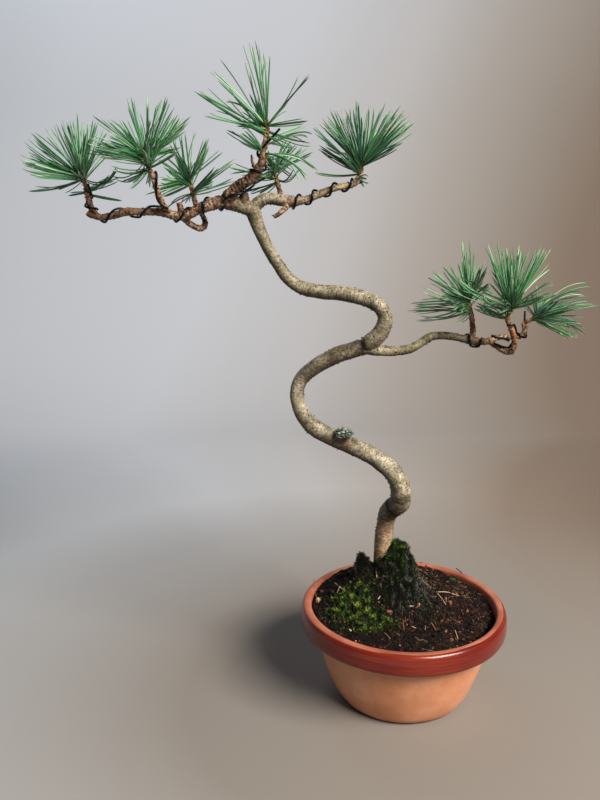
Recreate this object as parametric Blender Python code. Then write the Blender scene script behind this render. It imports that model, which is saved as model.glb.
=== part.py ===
# Bonsai pine in a terracotta half pot, as separate solids: pot, soil, wood, needle sprays and training wires.
# Metres, +Z up. The origin is the centre of the pot's flat foot, and -Y faces the viewer.
# Driving sizes are in millimetres, and MM turns them into metres.
import math
import random

import bmesh
import bpy
from mathutils import Quaternion, Vector

MM = 0.001
VIEWER = Vector((0, -1, 0))
TOUCH_GAP = 0.3          # clear gap between two meshes that touch
SHARP_ANGLE = 50.0       # degrees

# Pot: a half pot, turned on a wheel
POT_DIAMETER = 150.0     # widest, at the rim band
POT_HEIGHT = 71.0
FOOT_RADIUS = 43.0
BODY_TOP_RADIUS = 65.2   # just under the rim band
BODY_CURVE = 0.58        # 1 is a straight cone; less bulges above the foot
RIM_BAND_HEIGHT = 15.6
RIM_INNER_RADIUS = 67.5
POT_WALL = 5.0
POT_FLOOR = 7.0
POT_SIDES = 40
FOOT_EDGE = 2.0          # width of the rounding at the foot and at the inner floor
RIM_ROUNDING = 1.6
BAND_BULGE = 1.0         # how far the band's middle stands out from its lower edge
SHELF_HEIGHT = 3.0       # height over which the inner wall opens to the rim
DRAIN_HOLES = 3
DRAIN_HOLE_RADIUS = 5.0
DRAIN_HOLE_CIRCLE = 24.0
DRAIN_HOLE_SIDES = 16
CUT_PAST = 2.0           # how far a cutter runs past the face it cuts

# Soil: nearly level, with a mossy mound round the trunk's foot
SOIL_EDGE_HEIGHT = 63.0  # at the front of the pot; the back is higher
SOIL_BACK_RISE = 4.5
SOIL_CORNER_RISE = 2.5   # towards the back left
SOIL_DOME = 10.0
SOIL_FIT = 0.6           # between the soil and the pot's faceted wall
SOIL_RINGS = 9
SOIL_SIDES = 32
# each mound: x, y, height, spread
SOIL_MOUNDS = [
    (-3, 11, 23, 7.2),
    (4, 1, 16, 12.5),
    (7.5, 6, 6, 4),
    (-13, 0, 8, 6),
    (-26, 9, 19, 18),
    (-30, 11, 10, 5),
    (36, 6, 6, 10),
]

# Wood: each limb's flat sides, the step between its rings, and its route of x, y, z and radius in mm, which
# starts inside what the limb grows from
TRUNK_HOLE_GAP = 0.6
TRUNK_HOLE_TOP = 140.0   # of the hole's cutter: above the soil everywhere
TRUNK_FOOT = 58.0        # the trunk's lowest point, in the soil
WOOD = {
    "trunk": dict(sides=10, step=6.0, route=[
        (-14, 12, TRUNK_FOOT, 7.2), (-14, 12, 90, 7.2), (-14, 12, 116, 6.8), (-13.2, 11, 127, 6.5),
        (-12, 8, 137, 6.8), (-9, 2, 144, 7.3), (-5.5, -5, 150.5, 7.5), (-5, -8, 158, 7.2),
        (-7, -8, 167, 6.9), (-13, -6, 175.5, 6.6), (-24.5, -2, 183.5, 6.2), (-39.5, 3, 190, 6.2),
        (-55.5, 7, 196.3, 6.3), (-68, 10, 203.5, 6.0), (-76, 13, 214.5, 5.3), (-78, 14, 227, 5.0),
        (-74, 13, 237.5, 5.1), (-63.7, 9, 246.7, 5.5), (-51.3, 4, 254.4, 5.7), (-40, 0, 259, 5.7),
        (-30, -4, 263.7, 5.9), (-22, -7, 272, 5.6), (-19, -8, 282, 5.1), (-24, -8, 290.5, 5.1),
        (-34, -6, 295, 5.2), (-48, -2, 297.7, 5.1), (-62, 1, 298.5, 4.9), (-75, 4, 301.2, 4.6),
        (-84, 5, 307.2, 4.3), (-90.4, 5, 316, 4.0), (-98, 4, 328.5, 3.9), (-103.6, 2, 341, 4.4),
        (-107, 0, 352, 5.0),
    ]),
    "trunk_stub": dict(sides=8, step=4.0, route=[
        (-47, 4, 192, 4.0), (-46, 1, 199, 5.4), (-45, -0.5, 202, 4.6),
    ]),
    "left_limb": dict(sides=7, step=5.0, route=[
        (-104, 0, 350, 3.6), (-113, -1, 354.2, 4.8), (-120, -2, 356.4, 4.7), (-128, -3, 357, 4.2),
        (-136, -3, 355, 3.8), (-143, -2, 352.5, 3.3), (-150, -1, 349, 3.1), (-157, 0, 348.5, 2.9),
        (-169, 0, 351, 2.5), (-180, 1, 351, 2.5), (-190, 2, 351, 2.5), (-199, 4, 349, 2.3),
        (-207, 5, 347.5, 2.2), (-214, 6, 348.5, 1.9), (-218, 7, 350, 1.7),
    ]),
    "far_left_twig": dict(sides=5, step=5.0, route=[
        (-210, 5.5, 348, 1.6), (-214, 6, 352, 2.1), (-216, 6, 358, 2.1), (-217, 6, 364, 1.9),
    ]),
    "left_front_twig": dict(sides=5, step=5.0, route=[
        (-161, 0, 350, 1.8), (-164, -5, 354, 2.0), (-166, -9, 359, 1.9), (-168, -12, 366, 1.8),
        (-169, -14, 372, 1.7), (-171, -15, 377, 1.6),
    ]),
    "left_back_twig": dict(sides=5, step=4.5, route=[
        (-154, 0, 348, 1.9), (-150, 4, 344, 2.1), (-146, 8, 341, 2.1), (-142, 12, 340.5, 2.0),
        (-140.5, 16, 344, 1.8), (-143, 19, 350, 1.8), (-147, 22, 356, 1.8), (-149, 24, 362, 1.8),
    ]),
    "left_stub": dict(sides=5, step=4.0, route=[
        (-153, 0, 349, 1.8), (-154.5, -1.5, 354, 2.1), (-155, -2, 357, 1.7),
    ]),
    "top_riser": dict(sides=7, step=4.5, route=[
        (-127, -2, 356, 3.2), (-122, -6, 361, 4.1), (-115, -9, 367, 3.7), (-108, -12, 371, 3.3),
        (-103, -13, 376, 3.0), (-100, -14, 382, 2.5), (-99.5, -14, 388, 2.1), (-98, -15, 392, 2.1),
        (-97, -15, 396, 1.8),
    ]),
    "fork_knob": dict(sides=8, step=3.5, route=[
        (-111, -1, 354, 2.6), (-112.5, -2.5, 360, 3.2), (-113, -3, 363.5, 2.4),
    ]),
    "dead_twig": dict(sides=5, step=3.5, route=[
        (-104, -13, 376, 1.0), (-106, -15, 381, 1.0), (-106.5, -16, 386, 0.7),
    ]),
    "right_limb": dict(sides=7, step=4.5, route=[
        (-107, 0, 351, 3.9), (-104, 1, 356.5, 4.3), (-97, 1, 359.5, 4.0), (-89, 0, 358.5, 3.9),
        (-82, -1, 357.5, 3.7), (-76, -2, 358, 2.8), (-70, -3, 359.5, 2.4), (-64, -4, 362, 2.5),
        (-58, -5, 364.5, 2.3), (-51, -6, 366.5, 2.1), (-45, -6, 367.5, 2.1), (-40, -6, 369.5, 2.1),
        (-38, -6, 373, 1.9),
    ]),
    "right_stub": dict(sides=5, step=4.0, route=[
        (-83, -1, 356, 2.0), (-88, -5, 351, 1.7), (-93, -7, 347.5, 1.4),
    ]),
    "middle_back_twig": dict(sides=5, step=4.5, route=[
        (-91, 1, 359, 2.0), (-89, 8, 362, 1.8), (-90, 12, 366, 1.7), (-91, 15, 370, 1.6),
    ]),
    "lower_limb": dict(sides=7, step=5.0, route=[
        (-34, -3, 261.5, 3.6), (-26, -3.5, 260, 4.1), (-17, -1, 258.5, 3.5), (-8, 1, 258.5, 3.3),
        (0, 2, 260, 3.2), (7, 3, 263.5, 3.0), (13, 4, 267.3, 2.9), (20, 4, 268.5, 2.8), (28, 4, 268, 2.7),
        (36, 3, 266.5, 2.7), (43, 2, 265, 2.8), (49, 0, 265, 2.5), (54, -3, 265.5, 2.2),
    ]),
    "low_left_twig": dict(sides=5, step=5.0, route=[
        (42, 2, 265, 1.9), (43, 6, 270, 2.1), (43, 9, 277, 1.9), (42, 12, 284, 1.8),
    ]),
    "low_front_twig": dict(sides=5, step=4.0, route=[
        (52, -2, 265.5, 1.8), (57, -6, 262.5, 1.9), (61, -10, 260, 1.9), (65, -13, 260, 1.9),
        (66.5, -15, 265, 1.9), (65.5, -16, 270, 1.9), (63.5, -16.5, 275, 1.9), (61, -17, 280, 1.8),
    ]),
    "low_right_twig": dict(sides=5, step=4.5, route=[
        (49, 0, 265, 1.9), (56, 5, 265.5, 1.9), (64, 8, 267, 1.8), (71, 9, 267, 1.7), (77, 10, 267, 1.7),
        (80, 11.5, 269.5, 1.7), (80, 12, 273, 1.6),
    ]),
}

# Training wires, each wound round a limb: a list of (mm along the limb, angle round it in degrees), then the
# points its free end runs to, in a straight line.
# Angle 0 faces the viewer, and the angle between two entries changes evenly.
WIRE_RADIUS = 0.75
WIRE_CLEARANCE = 0.5     # between wire and bark
WIRE_SIDES = 5
WIRE_STEP_ANGLE = 32     # degrees between the points of its course
WIRES = {
    "wire_left_limb": ("left_limb", [
        (23, -25), (25.5, -95), (29.5, -180), (33, -270), (36, -360), (39, -450), (47, -620), (51, -715),
        (55.5, -780), (60, -900), (66, -970), (73.5, -1000), (77.5, -1080), (82, -1170), (88, -1200),
        (95, -1340), (102.5, -1440), (106.5, -1530), (111, -1600),
    ], []),
    "wire_far_left": ("far_left_twig", [
        (4, 110), (7.5, 0), (10, -90), (13.5, -200), (15.5, -290),
    ], [(-214.4, 0, 368.7)]),
    "wire_left_front": ("left_front_twig", [
        (7, 25), (11, -15), (16, -35), (21, 5), (27, 40), (31, 110),
    ], []),
    "wire_top": ("top_riser", [
        (7, 0), (10, 8), (13, 20), (15, 45), (17.5, 75), (21, 90), (26, 100), (28.5, 180), (31, 270), (34, 360),
        (37, 450), (41, 540), (45, 630), (48.5, 710),
    ], [(-88.4, -22, 400.6)]),
    "wire_right_limb": ("right_limb", [
        (30.2, 115), (33.5, 0), (35.5, -90), (38, -230), (41.5, -285), (44.5, -360), (46.5, -450), (51, -590),
        (55.5, -645), (58, -720), (60, -810), (65.5, -990), (70, -1080), (72.5, -1170), (74.5, -1260),
        (76.5, -1390),
    ], []),
    "wire_lower_limb": ("lower_limb", [
        (73.5, -190), (76.5, -60), (79, 60), (81, 90), (83.5, 90), (86, 10), (87, -50),
    ], []),
    "wire_low_front": ("low_front_twig", [
        (5, -10), (12, -40), (20, -120), (30, -230), (37, -270), (40, -395),
    ], []),
    "wire_low_right": ("low_right_twig", [
        (8, -80), (13, -10), (21, 50), (24.5, 180), (27.5, 280), (30, 350), (33, 430), (36, 530),
    ], [(81.5, 18, 283.7)]),
}

# Needles: three-sided, thin and slightly curved
NEEDLE_RADIUS = 0.66     # of the circle round the three corners: sides of 1.15 mm
NEEDLE_TAPER = 0.7       # share of the length that keeps the full width
SPRAY_CLEARANCE = 0.5    # least clear width between needles of two sprays
SHOOT_RADIUS = 1.3
SHOOT_TAPER = 0.8
SHOOT_SIDES = 5
NEEDLE_START = 3.2       # the shoot's bare foot
NEEDLE_BEND = 0.04       # most sideways bow, as a share of the length
GOLDEN_ANGLE = 137.5     # turn from one needle to the next
SPREAD_CURVE = 0.8       # below 1, the needles close up sooner along the shoot
LEAST_ANGLE = 2.0
ANGLE_DRAW = 8.0         # random share of a needle's angle from the shoot, each way
TURN_DRAW = 5.0          # the same of its turn round the shoot, and more at each further try
TRIES = 6
REACH = 120.0            # pieces further than this from a shoot can't touch its needles
SEED = 7
# each spray: the twig it grows on, the tips of its shoots, the number of needles, their least and most
# length, and their angle from the shoot at its foot and at its tip
SPRAYS = {
    "needles_far_left": dict(
        twig="far_left_twig", tips=[(-224, 4, 376), (-213, 8, 373)],
        count=48, lengths=(33, 42), angles=(95, 10),
    ),
    "needles_left_front": dict(
        twig="left_front_twig", tips=[(-173, -17, 385)], count=54, lengths=(33, 43), angles=(100, 8)
    ),
    "needles_left_back": dict(
        twig="left_back_twig", tips=[(-152, 28, 373)], count=40, lengths=(31, 40), angles=(105, 12)
    ),
    "needles_top": dict(
        twig="top_riser", tips=[(-97, -15, 403)], count=48, lengths=(36, 54), angles=(100, 6)
    ),
    "needles_middle_back": dict(
        twig="middle_back_twig", tips=[(-94, 20, 379)], count=36, lengths=(28, 36), angles=(105, 15)
    ),
    "needles_right": dict(
        twig="right_limb", tips=[(-36.5, -6, 380)], count=48, lengths=(37, 46), angles=(75, 6)
    ),
    "needles_low_left": dict(
        twig="low_left_twig", tips=[(40.5, 14, 293)], count=40, lengths=(33, 42), angles=(95, 10)
    ),
    "needles_low_front": dict(
        twig="low_front_twig", tips=[(62, -19, 290.5)], count=48, lengths=(37, 47), angles=(92, 6)
    ),
    "needles_low_right": dict(
        twig="low_right_twig", tips=[(89, 13, 280)], count=38, lengths=(34, 44), angles=(90, 8)
    ),
}


# Scene and materials


def clear_scene():
    for item in list(bpy.data.objects):
        bpy.data.objects.remove(item, do_unlink=True)


def make_material(name, color, roughness, metallic=0.0):
    material = bpy.data.materials.new(name)
    material.use_nodes = True
    shader = material.node_tree.nodes["Principled BSDF"]
    shader.inputs["Base Color"].default_value = (*color, 1.0)
    shader.inputs["Roughness"].default_value = roughness
    shader.inputs["Metallic"].default_value = metallic
    return material


# Round pieces look round: their sides are shaded smooth, and edges sharper than the angle stay sharp
def shade_round(item):
    item.data.shade_smooth()
    item.data.set_sharp_from_angle(angle=math.radians(SHARP_ANGLE))


def make_object(name, mesh, parent=None, material=None):
    data = bpy.data.meshes.new(name)
    mesh.to_mesh(data)
    mesh.free()
    if material:
        data.materials.append(material)
    item = bpy.data.objects.new(name, data)
    bpy.context.scene.collection.objects.link(item)
    item.parent = parent
    return item


# Shapes


# A smooth curve through the points of a route, as points about every step mm: (position, radius)
def smooth_route(route, step):
    ends = [route[0], *route, route[-1]]
    dense = []
    for before, start, end, after in zip(ends, ends[1:], ends[2:], ends[3:]):
        count = max(1, round(math.dist(start[:3], end[:3]) / step))
        for i in range(count):
            t = i / count
            dense.append([
                b + 0.5 * t * (c - a + t * (2 * a - 5 * b + 4 * c - d + t * (3 * b - a - 3 * c + d)))
                for a, b, c, d in zip(before, start, end, after)
            ])
    dense.append(route[-1])
    return [(Vector(spot[:3]), spot[3]) for spot in dense]


# The direction at each point of a curve, and a side direction that is carried along it without twist
def carried_frames(points):
    last = len(points) - 1
    tangents = [(points[min(i + 1, last)] - points[max(i - 1, 0)]).normalized() for i in range(last + 1)]
    side = tangents[0].orthogonal().normalized()
    across = [side]
    for old, new in zip(tangents, tangents[1:]):
        side = (old.rotation_difference(new) @ side).normalized()
        across.append(side)
    return tangents, across


# A closed tube of flat sides along a route of (position, radius); a last radius of 0 gives a point
def sweep(mesh, route, sides):
    rings = []
    tangents, across = carried_frames([point for point, _ in route])
    for (point, radius), tangent, side in zip(route, tangents, across):
        up = tangent.cross(side)
        turns = [2 * math.pi * k / sides for k in range(sides)]
        spots = [point + radius * (math.cos(turn) * side + math.sin(turn) * up) for turn in turns]
        rings.append([mesh.verts.new(spot * MM) for spot in (spots if radius else [point])])
    for low, high in zip(rings, rings[1:]):
        for k in range(sides):
            n = (k + 1) % sides
            top = (high[n], high[k]) if len(high) > 1 else (high[0],)
            mesh.faces.new((low[k], low[n], *top))
    mesh.faces.new(rings[0][::-1])
    if len(rings[-1]) > 1:
        mesh.faces.new(rings[-1])


# A closed turned solid; the profile runs from the bottom centre round the outside to the top centre.
# A height may be a number or a function of x and y.
def turn_profile(mesh, profile, sides):
    rings = []
    for radius, height in profile:
        spots = [(0.0, 0.0)]
        if radius > 0:
            turns = [2 * math.pi * k / sides for k in range(sides)]
            spots = [(radius * math.cos(turn), radius * math.sin(turn)) for turn in turns]
        heights = [height(x, y) if callable(height) else height for x, y in spots]
        rings.append([mesh.verts.new(Vector((x, y, z)) * MM) for (x, y), z in zip(spots, heights)])
    for low, high in zip(rings, rings[1:]):
        for k in range(sides):
            n = (k + 1) % sides
            if len(low) == 1:
                mesh.faces.new((low[0], high[n], high[k]))
            elif len(high) == 1:
                mesh.faces.new((low[k], low[n], high[0]))
            else:
                mesh.faces.new((low[k], low[n], high[n], high[k]))


# The mesh that an object's modifiers give replaces its own
def apply_modifiers(item):
    material = item.data.materials[0] if item.data.materials else None
    result = bpy.data.meshes.new_from_object(item.evaluated_get(bpy.context.evaluated_depsgraph_get()))
    result.name = item.name
    result.materials.clear()
    if material:
        result.materials.append(material)
    item.modifiers.clear()
    item.data = result


# Union of an object with others, or the difference from them; the others are then removed
def combine(item, others, operation):
    group = bpy.data.collections.new(item.name + "_pieces")
    bpy.context.scene.collection.children.link(group)
    for other in others:
        group.objects.link(other)
    modifier = item.modifiers.new(operation.lower(), "BOOLEAN")
    modifier.operation = operation
    modifier.operand_type = "COLLECTION"
    modifier.collection = group
    modifier.solver = "MANIFOLD"
    apply_modifiers(item)
    for other in others:
        bpy.data.objects.remove(other, do_unlink=True)
    bpy.data.collections.remove(group)


# Pot and soil


# The pot body's outer radius at a height: it opens quickly above the foot, then runs nearly straight
def body_radius(height):
    share = height / (POT_HEIGHT - RIM_BAND_HEIGHT)
    return FOOT_RADIUS + (BODY_TOP_RADIUS - FOOT_RADIUS) * share**BODY_CURVE


# The inner wall follows the body, opens over a short height behind the band and is upright above that
def inner_radius(height):
    band_low = POT_HEIGHT - RIM_BAND_HEIGHT
    if height <= band_low:
        return body_radius(height) - POT_WALL
    low = BODY_TOP_RADIUS - POT_WALL
    return low + (RIM_INNER_RADIUS - low) * min(1.0, (height - band_low) / SHELF_HEIGHT)


def pot_profile():
    widest = POT_DIAMETER / 2
    band_low = POT_HEIGHT - RIM_BAND_HEIGHT
    foot = [(0, 0), (FOOT_RADIUS - FOOT_EDGE, 0), (FOOT_RADIUS, FOOT_EDGE / 2)]
    body = [(body_radius(band_low * share), band_low * share) for share in (0.07, 0.25, 0.6, 1)]
    band = [
        (widest - BAND_BULGE, band_low), (widest, band_low + BAND_BULGE * 2),
        (widest, band_low + RIM_BAND_HEIGHT / 2), (widest - BAND_BULGE, POT_HEIGHT - RIM_ROUNDING * 2),
    ]
    middle = (widest + RIM_INNER_RADIUS) / 2
    reach = middle - RIM_INNER_RADIUS - BAND_BULGE / 2
    rim = [
        (middle + reach * math.cos(turn), POT_HEIGHT - RIM_ROUNDING * (1 - math.sin(turn)))
        for turn in (math.radians(a) for a in (30, 90, 150))
    ]
    floor_top = POT_FLOOR + FOOT_EDGE
    heights = (band_low + SHELF_HEIGHT, band_low, (band_low + floor_top) / 2, floor_top)
    inside = [(inner_radius(h), h) for h in heights]
    floor = [(inner_radius(floor_top) - FOOT_EDGE, POT_FLOOR), (0, POT_FLOOR)]
    return foot + body + band + rim + inside + floor


def make_pot(root):
    mesh = bmesh.new()
    turn_profile(mesh, pot_profile(), POT_SIDES)
    pot = make_object("pot", mesh, root, make_material("terracotta", (0.58, 0.27, 0.13), 0.75))
    cutters = []
    for k in range(DRAIN_HOLES):
        turn = 2 * math.pi * k / DRAIN_HOLES
        x, y = DRAIN_HOLE_CIRCLE * math.sin(turn), DRAIN_HOLE_CIRCLE * math.cos(turn)
        hole = bmesh.new()
        route = [(Vector((x, y, z)), DRAIN_HOLE_RADIUS) for z in (-CUT_PAST, POT_FLOOR + CUT_PAST)]
        sweep(hole, route, DRAIN_HOLE_SIDES)
        cutters.append(make_object(f"drain_hole_{k}", hole))
    combine(pot, cutters, "DIFFERENCE")
    shade_round(pot)


def soil_height(x, y):
    far = math.hypot(x, y) / RIM_INNER_RADIUS
    height = SOIL_EDGE_HEIGHT + SOIL_BACK_RISE * y / RIM_INNER_RADIUS + SOIL_DOME * (1 - far**2)
    height += SOIL_CORNER_RISE * max(0.0, (y * 0.8 - x * 0.6) / RIM_INNER_RADIUS) ** 2
    for mound_x, mound_y, mound_height, spread in SOIL_MOUNDS:
        near = ((x - mound_x) ** 2 + (y - mound_y) ** 2) / (2 * spread**2)
        height += mound_height * math.exp(-near)
    return height


def make_soil(root):
    bottom = POT_FLOOR + TOUCH_GAP
    floor_top = bottom + FOOT_EDGE
    band_low = POT_HEIGHT - RIM_BAND_HEIGHT
    top_radius = inner_radius(SOIL_EDGE_HEIGHT) - SOIL_FIT
    foot = inner_radius(floor_top) - SOIL_FIT
    base = [(0, bottom), (foot - FOOT_EDGE, bottom), (foot, floor_top)]
    side = [(inner_radius(h) - SOIL_FIT, h) for h in ((band_low + floor_top) / 2, band_low)]
    top = [(top_radius * (1 - k / SOIL_RINGS), soil_height) for k in range(SOIL_RINGS + 1)]
    mesh = bmesh.new()
    turn_profile(mesh, base + side + top, SOIL_SIDES)
    soil = make_object("soil", mesh, root, make_material("potting_soil", (0.03, 0.02, 0.015), 0.95))
    x, y, _, radius = WOOD["trunk"]["route"][0]
    hole = bmesh.new()
    route = [(Vector((x, y, z)), radius + TRUNK_HOLE_GAP) for z in (TRUNK_FOOT - TOUCH_GAP, TRUNK_HOLE_TOP)]
    sweep(hole, route, WOOD["trunk"]["sides"])
    combine(soil, [make_object("trunk_hole", hole)], "DIFFERENCE")
    shade_round(soil)


# Wood, wires and needles


def wood_route(name):
    return smooth_route(WOOD[name]["route"], WOOD[name]["step"])


def make_wood(root):
    bark = make_material("pine_bark", (0.42, 0.33, 0.21), 0.85)
    pieces = []
    for name, limb in WOOD.items():
        mesh = bmesh.new()
        sweep(mesh, wood_route(name), limb["sides"])
        pieces.append(make_object(name, mesh, root, bark))
    combine(pieces[0], pieces[1:], "UNION")
    shade_round(pieces[0])


# The course of a wire round a limb, as (position, radius)
def wire_route(limb, entries, free_end):
    spine = wood_route(limb)
    points = [point for point, _ in spine]
    tangents, _ = carried_frames(points)
    along = [0.0]
    for old, new in zip(points, points[1:]):
        along.append(along[-1] + (new - old).length)
    route = []
    for (start, first), (end, last) in zip(entries, entries[1:]):
        steps = max(1, round(abs(last - first) / WIRE_STEP_ANGLE))
        for i in range(steps + 1 if end == entries[-1][0] else steps):
            place = start + (end - start) * i / steps
            turn = math.radians(first + (last - first) * i / steps)
            k = max(n for n in range(len(along) - 1) if along[n] <= place)
            part = (place - along[k]) / (along[k + 1] - along[k])
            tangent = tangents[k].lerp(tangents[k + 1], part).normalized()
            front = (VIEWER - tangent * VIEWER.dot(tangent)).normalized()
            outward = math.cos(turn) * front + math.sin(turn) * tangent.cross(front)
            reach = max(spine[k][1], spine[k + 1][1]) + WIRE_RADIUS + WIRE_CLEARANCE
            route.append((points[k].lerp(points[k + 1], part) + reach * outward, WIRE_RADIUS))
    return route + [(Vector(spot), WIRE_RADIUS) for spot in free_end]


def make_wires(root):
    aluminium = make_material("anodised_aluminium", (0.02, 0.022, 0.026), 0.35, 1.0)
    for name, course in WIRES.items():
        mesh = bmesh.new()
        sweep(mesh, wire_route(*course), WIRE_SIDES)
        shade_round(make_object(name, mesh, root, aluminium))


# Least distance between the segments a-b and c-d
def segment_gap(a, b, c, d):
    u, v, w = b - a, d - c, a - c
    uu, uv, vv, uw, vw = u.dot(u), u.dot(v), v.dot(v), u.dot(w), v.dot(w)
    cross = uu * vv - uv * uv
    s = min(1.0, max(0.0, (uv * vw - vv * uw) / cross)) if cross > 1e-9 else 0.0
    t = min(1.0, max(0.0, (uv * s + vw) / vv))
    s = min(1.0, max(0.0, (uv * t - uw) / uu))
    return (w + u * s - v * t).length


def segments(route):
    return [(a, b, max(wide, narrow)) for (a, wide), (b, narrow) in zip(route, route[1:])]


# A needle that springs from base: it leaves along direction, bows a little and ends in a point
def needle_route(base, direction, length, draw):
    bend = direction.orthogonal().normalized()
    bend.rotate(Quaternion(direction, draw.uniform(0, 2 * math.pi)))
    shoulder = base + direction * length * NEEDLE_TAPER + bend * length * draw.uniform(0.0, NEEDLE_BEND)
    tip = base + direction * length
    return [(base, NEEDLE_RADIUS), (shoulder, NEEDLE_RADIUS), (tip, 0.0)]


# The shoots of a spray: they leave the twig straight, and fork if there is more than one
def shoot_routes(twig, tips):
    spine = wood_route(twig)
    leaving = (spine[-1][0] - spine[-2][0]).normalized()
    foot = spine[-1][0] + leaving * TOUCH_GAP
    bend = foot + leaving * NEEDLE_START
    lower = [(foot, SHOOT_RADIUS), (bend, SHOOT_RADIUS)]
    return [lower + [(Vector(tip), SHOOT_RADIUS * SHOOT_TAPER)] for tip in tips]


def is_clear(route, near):
    least = NEEDLE_RADIUS + SPRAY_CLEARANCE
    return all(
        segment_gap(a, b, c, d) > least + radius for a, b, _ in segments(route) for c, d, radius in near
    )


# The needles round one shoot, wide at its foot and upright at its top. A needle that would come too near
# another piece is aimed again, and left out if no try is clear.
def needle_routes(shoot, count, spray, near, draw):
    _, (foot, _), (tip, _) = shoot
    wide, narrow = spray["angles"]
    axis = (tip - foot).normalized()
    side = axis.orthogonal().normalized()
    routes = []
    turn = draw.uniform(0, 360)
    for i in range(count):
        along = (i + 0.5) / count
        turn += GOLDEN_ANGLE
        for attempt in range(1, TRIES + 1):
            angle = wide + (narrow - wide) * along**SPREAD_CURVE + draw.uniform(-ANGLE_DRAW, ANGLE_DRAW)
            around = turn + attempt * draw.uniform(-TURN_DRAW, TURN_DRAW)
            outward = Quaternion(axis, math.radians(around)) @ side
            angle = math.radians(max(LEAST_ANGLE, angle))
            direction = axis * math.cos(angle) + outward * math.sin(angle)
            route = needle_route(foot.lerp(tip, along), direction, draw.uniform(*spray["lengths"]), draw)
            if is_clear(route, near):
                routes.append(route)
                break
    return routes


def make_sprays(root):
    draw = random.Random(SEED)
    green = make_material("pine_needle", (0.05, 0.17, 0.05), 0.45)
    taken = [segment for name in WOOD for segment in segments(wood_route(name))]
    for course in WIRES.values():
        taken += segments(wire_route(*course))
    for name, spray in SPRAYS.items():
        shoots = shoot_routes(spray["twig"], spray["tips"])
        near = [segment for segment in taken if (segment[0] - shoots[0][-1][0]).length < REACH]
        needles = []
        for shoot in shoots:
            needles += needle_routes(shoot, spray["count"] // len(shoots), spray, near, draw)
        pieces = []
        for routes, sides in ((shoots, SHOOT_SIDES), (needles, 3)):
            for route in routes:
                mesh = bmesh.new()
                sweep(mesh, route, sides)
                pieces.append(make_object(f"{name}_{len(pieces)}", mesh, root, green))
        combine(pieces[0], pieces[1:], "UNION")
        pieces[0].name = name
        taken += [segment for route in shoots + needles for segment in segments(route)]


def main():
    clear_scene()
    root = bpy.data.objects.new("bonsai", None)
    bpy.context.scene.collection.objects.link(root)
    make_pot(root)
    make_soil(root)
    make_wood(root)
    make_wires(root)
    make_sprays(root)


main()
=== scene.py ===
# Bonsai pine in a terracotta half pot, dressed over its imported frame.
# +Z is up and -Y faces the viewer. Sizes in the dictionaries are millimetres, and mm turns them into metres.
import math
import random

import bpy
import numpy
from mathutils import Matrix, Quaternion, Vector, kdtree, noise


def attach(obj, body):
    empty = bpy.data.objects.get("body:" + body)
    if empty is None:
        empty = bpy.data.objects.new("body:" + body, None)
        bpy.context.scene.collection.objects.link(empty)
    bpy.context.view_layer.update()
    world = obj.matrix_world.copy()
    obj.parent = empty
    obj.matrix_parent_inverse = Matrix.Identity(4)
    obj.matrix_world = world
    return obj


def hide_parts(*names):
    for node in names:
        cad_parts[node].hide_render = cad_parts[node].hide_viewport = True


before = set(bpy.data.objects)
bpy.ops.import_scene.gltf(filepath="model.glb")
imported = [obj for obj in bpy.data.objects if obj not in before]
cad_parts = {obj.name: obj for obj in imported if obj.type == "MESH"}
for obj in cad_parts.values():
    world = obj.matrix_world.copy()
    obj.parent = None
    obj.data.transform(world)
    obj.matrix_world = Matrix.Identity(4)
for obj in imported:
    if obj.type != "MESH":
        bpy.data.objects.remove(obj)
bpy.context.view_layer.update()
mm = 0.001
viewer = Vector((0, -1, 0))


# Shared tools


def linear(hexColor):  # sRGB hex to linear, with alpha
    values = [int(hexColor[i : i + 2], 16) / 255 for i in (1, 3, 5)]
    return [v / 12.92 if v <= 0.04045 else ((v + 0.055) / 1.055) ** 2.4 for v in values] + [1.0]


# One node with its settings; an input takes a value or another node's socket, and stops fill a colour ramp
def addNode(tree, kind, inputs=None, stops=None, **settings):
    node = tree.nodes.new("ShaderNode" + kind)
    for name, value in settings.items():
        setattr(node, name, value)
    for name, value in (inputs or {}).items():
        if isinstance(value, bpy.types.NodeSocket):
            tree.links.new(value, node.inputs[name])
        else:
            node.inputs[name].default_value = value
    if stops:
        ramp = node.color_ramp.elements
        for i, (place, hexColor) in enumerate(stops):
            stop = ramp[i] if i < 2 else ramp.new(place)
            stop.position = place
            stop.color = linear(hexColor)
    return node


def newMaterial(name, roughness, ior=1.5, metallic=0.0):
    material = bpy.data.materials.new(name)
    material.use_nodes = True
    shader = material.node_tree.nodes["Principled BSDF"]
    shader.inputs["Roughness"].default_value = roughness
    shader.inputs["IOR"].default_value = ior
    shader.inputs["Metallic"].default_value = metallic
    return material, material.node_tree, shader


# Shader nodes by what they do, each giving back the socket of its result


def objectPlace(tree):
    return addNode(tree, "TexCoord").outputs["Object"]


def pointMark(tree, name, output="Fac"):
    return addNode(tree, "Attribute", attribute_name=name).outputs[output]


def cloudy(tree, place, scale, detail, roughness=0.5):
    inputs = {"Vector": place, "Scale": scale, "Detail": detail, "Roughness": roughness}
    return addNode(tree, "TexNoise", inputs).outputs["Fac"]


def stretched(tree, place, scale):
    return addNode(tree, "Mapping", {"Vector": place, "Scale": scale}).outputs["Vector"]


def ramp(tree, value, *stops):
    return addNode(tree, "ValToRGB", {"Fac": value}, stops=stops).outputs["Color"]


def remap(tree, value, low, high, toLow=0.0, toHigh=1.0):
    inputs = {"Value": value, "From Min": low, "From Max": high, "To Min": toLow, "To Max": toHigh}
    return addNode(tree, "MapRange", inputs).outputs["Result"]


def reckon(tree, operation, *values):
    return addNode(tree, "Math", dict(enumerate(values)), operation=operation).outputs["Value"]


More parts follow.
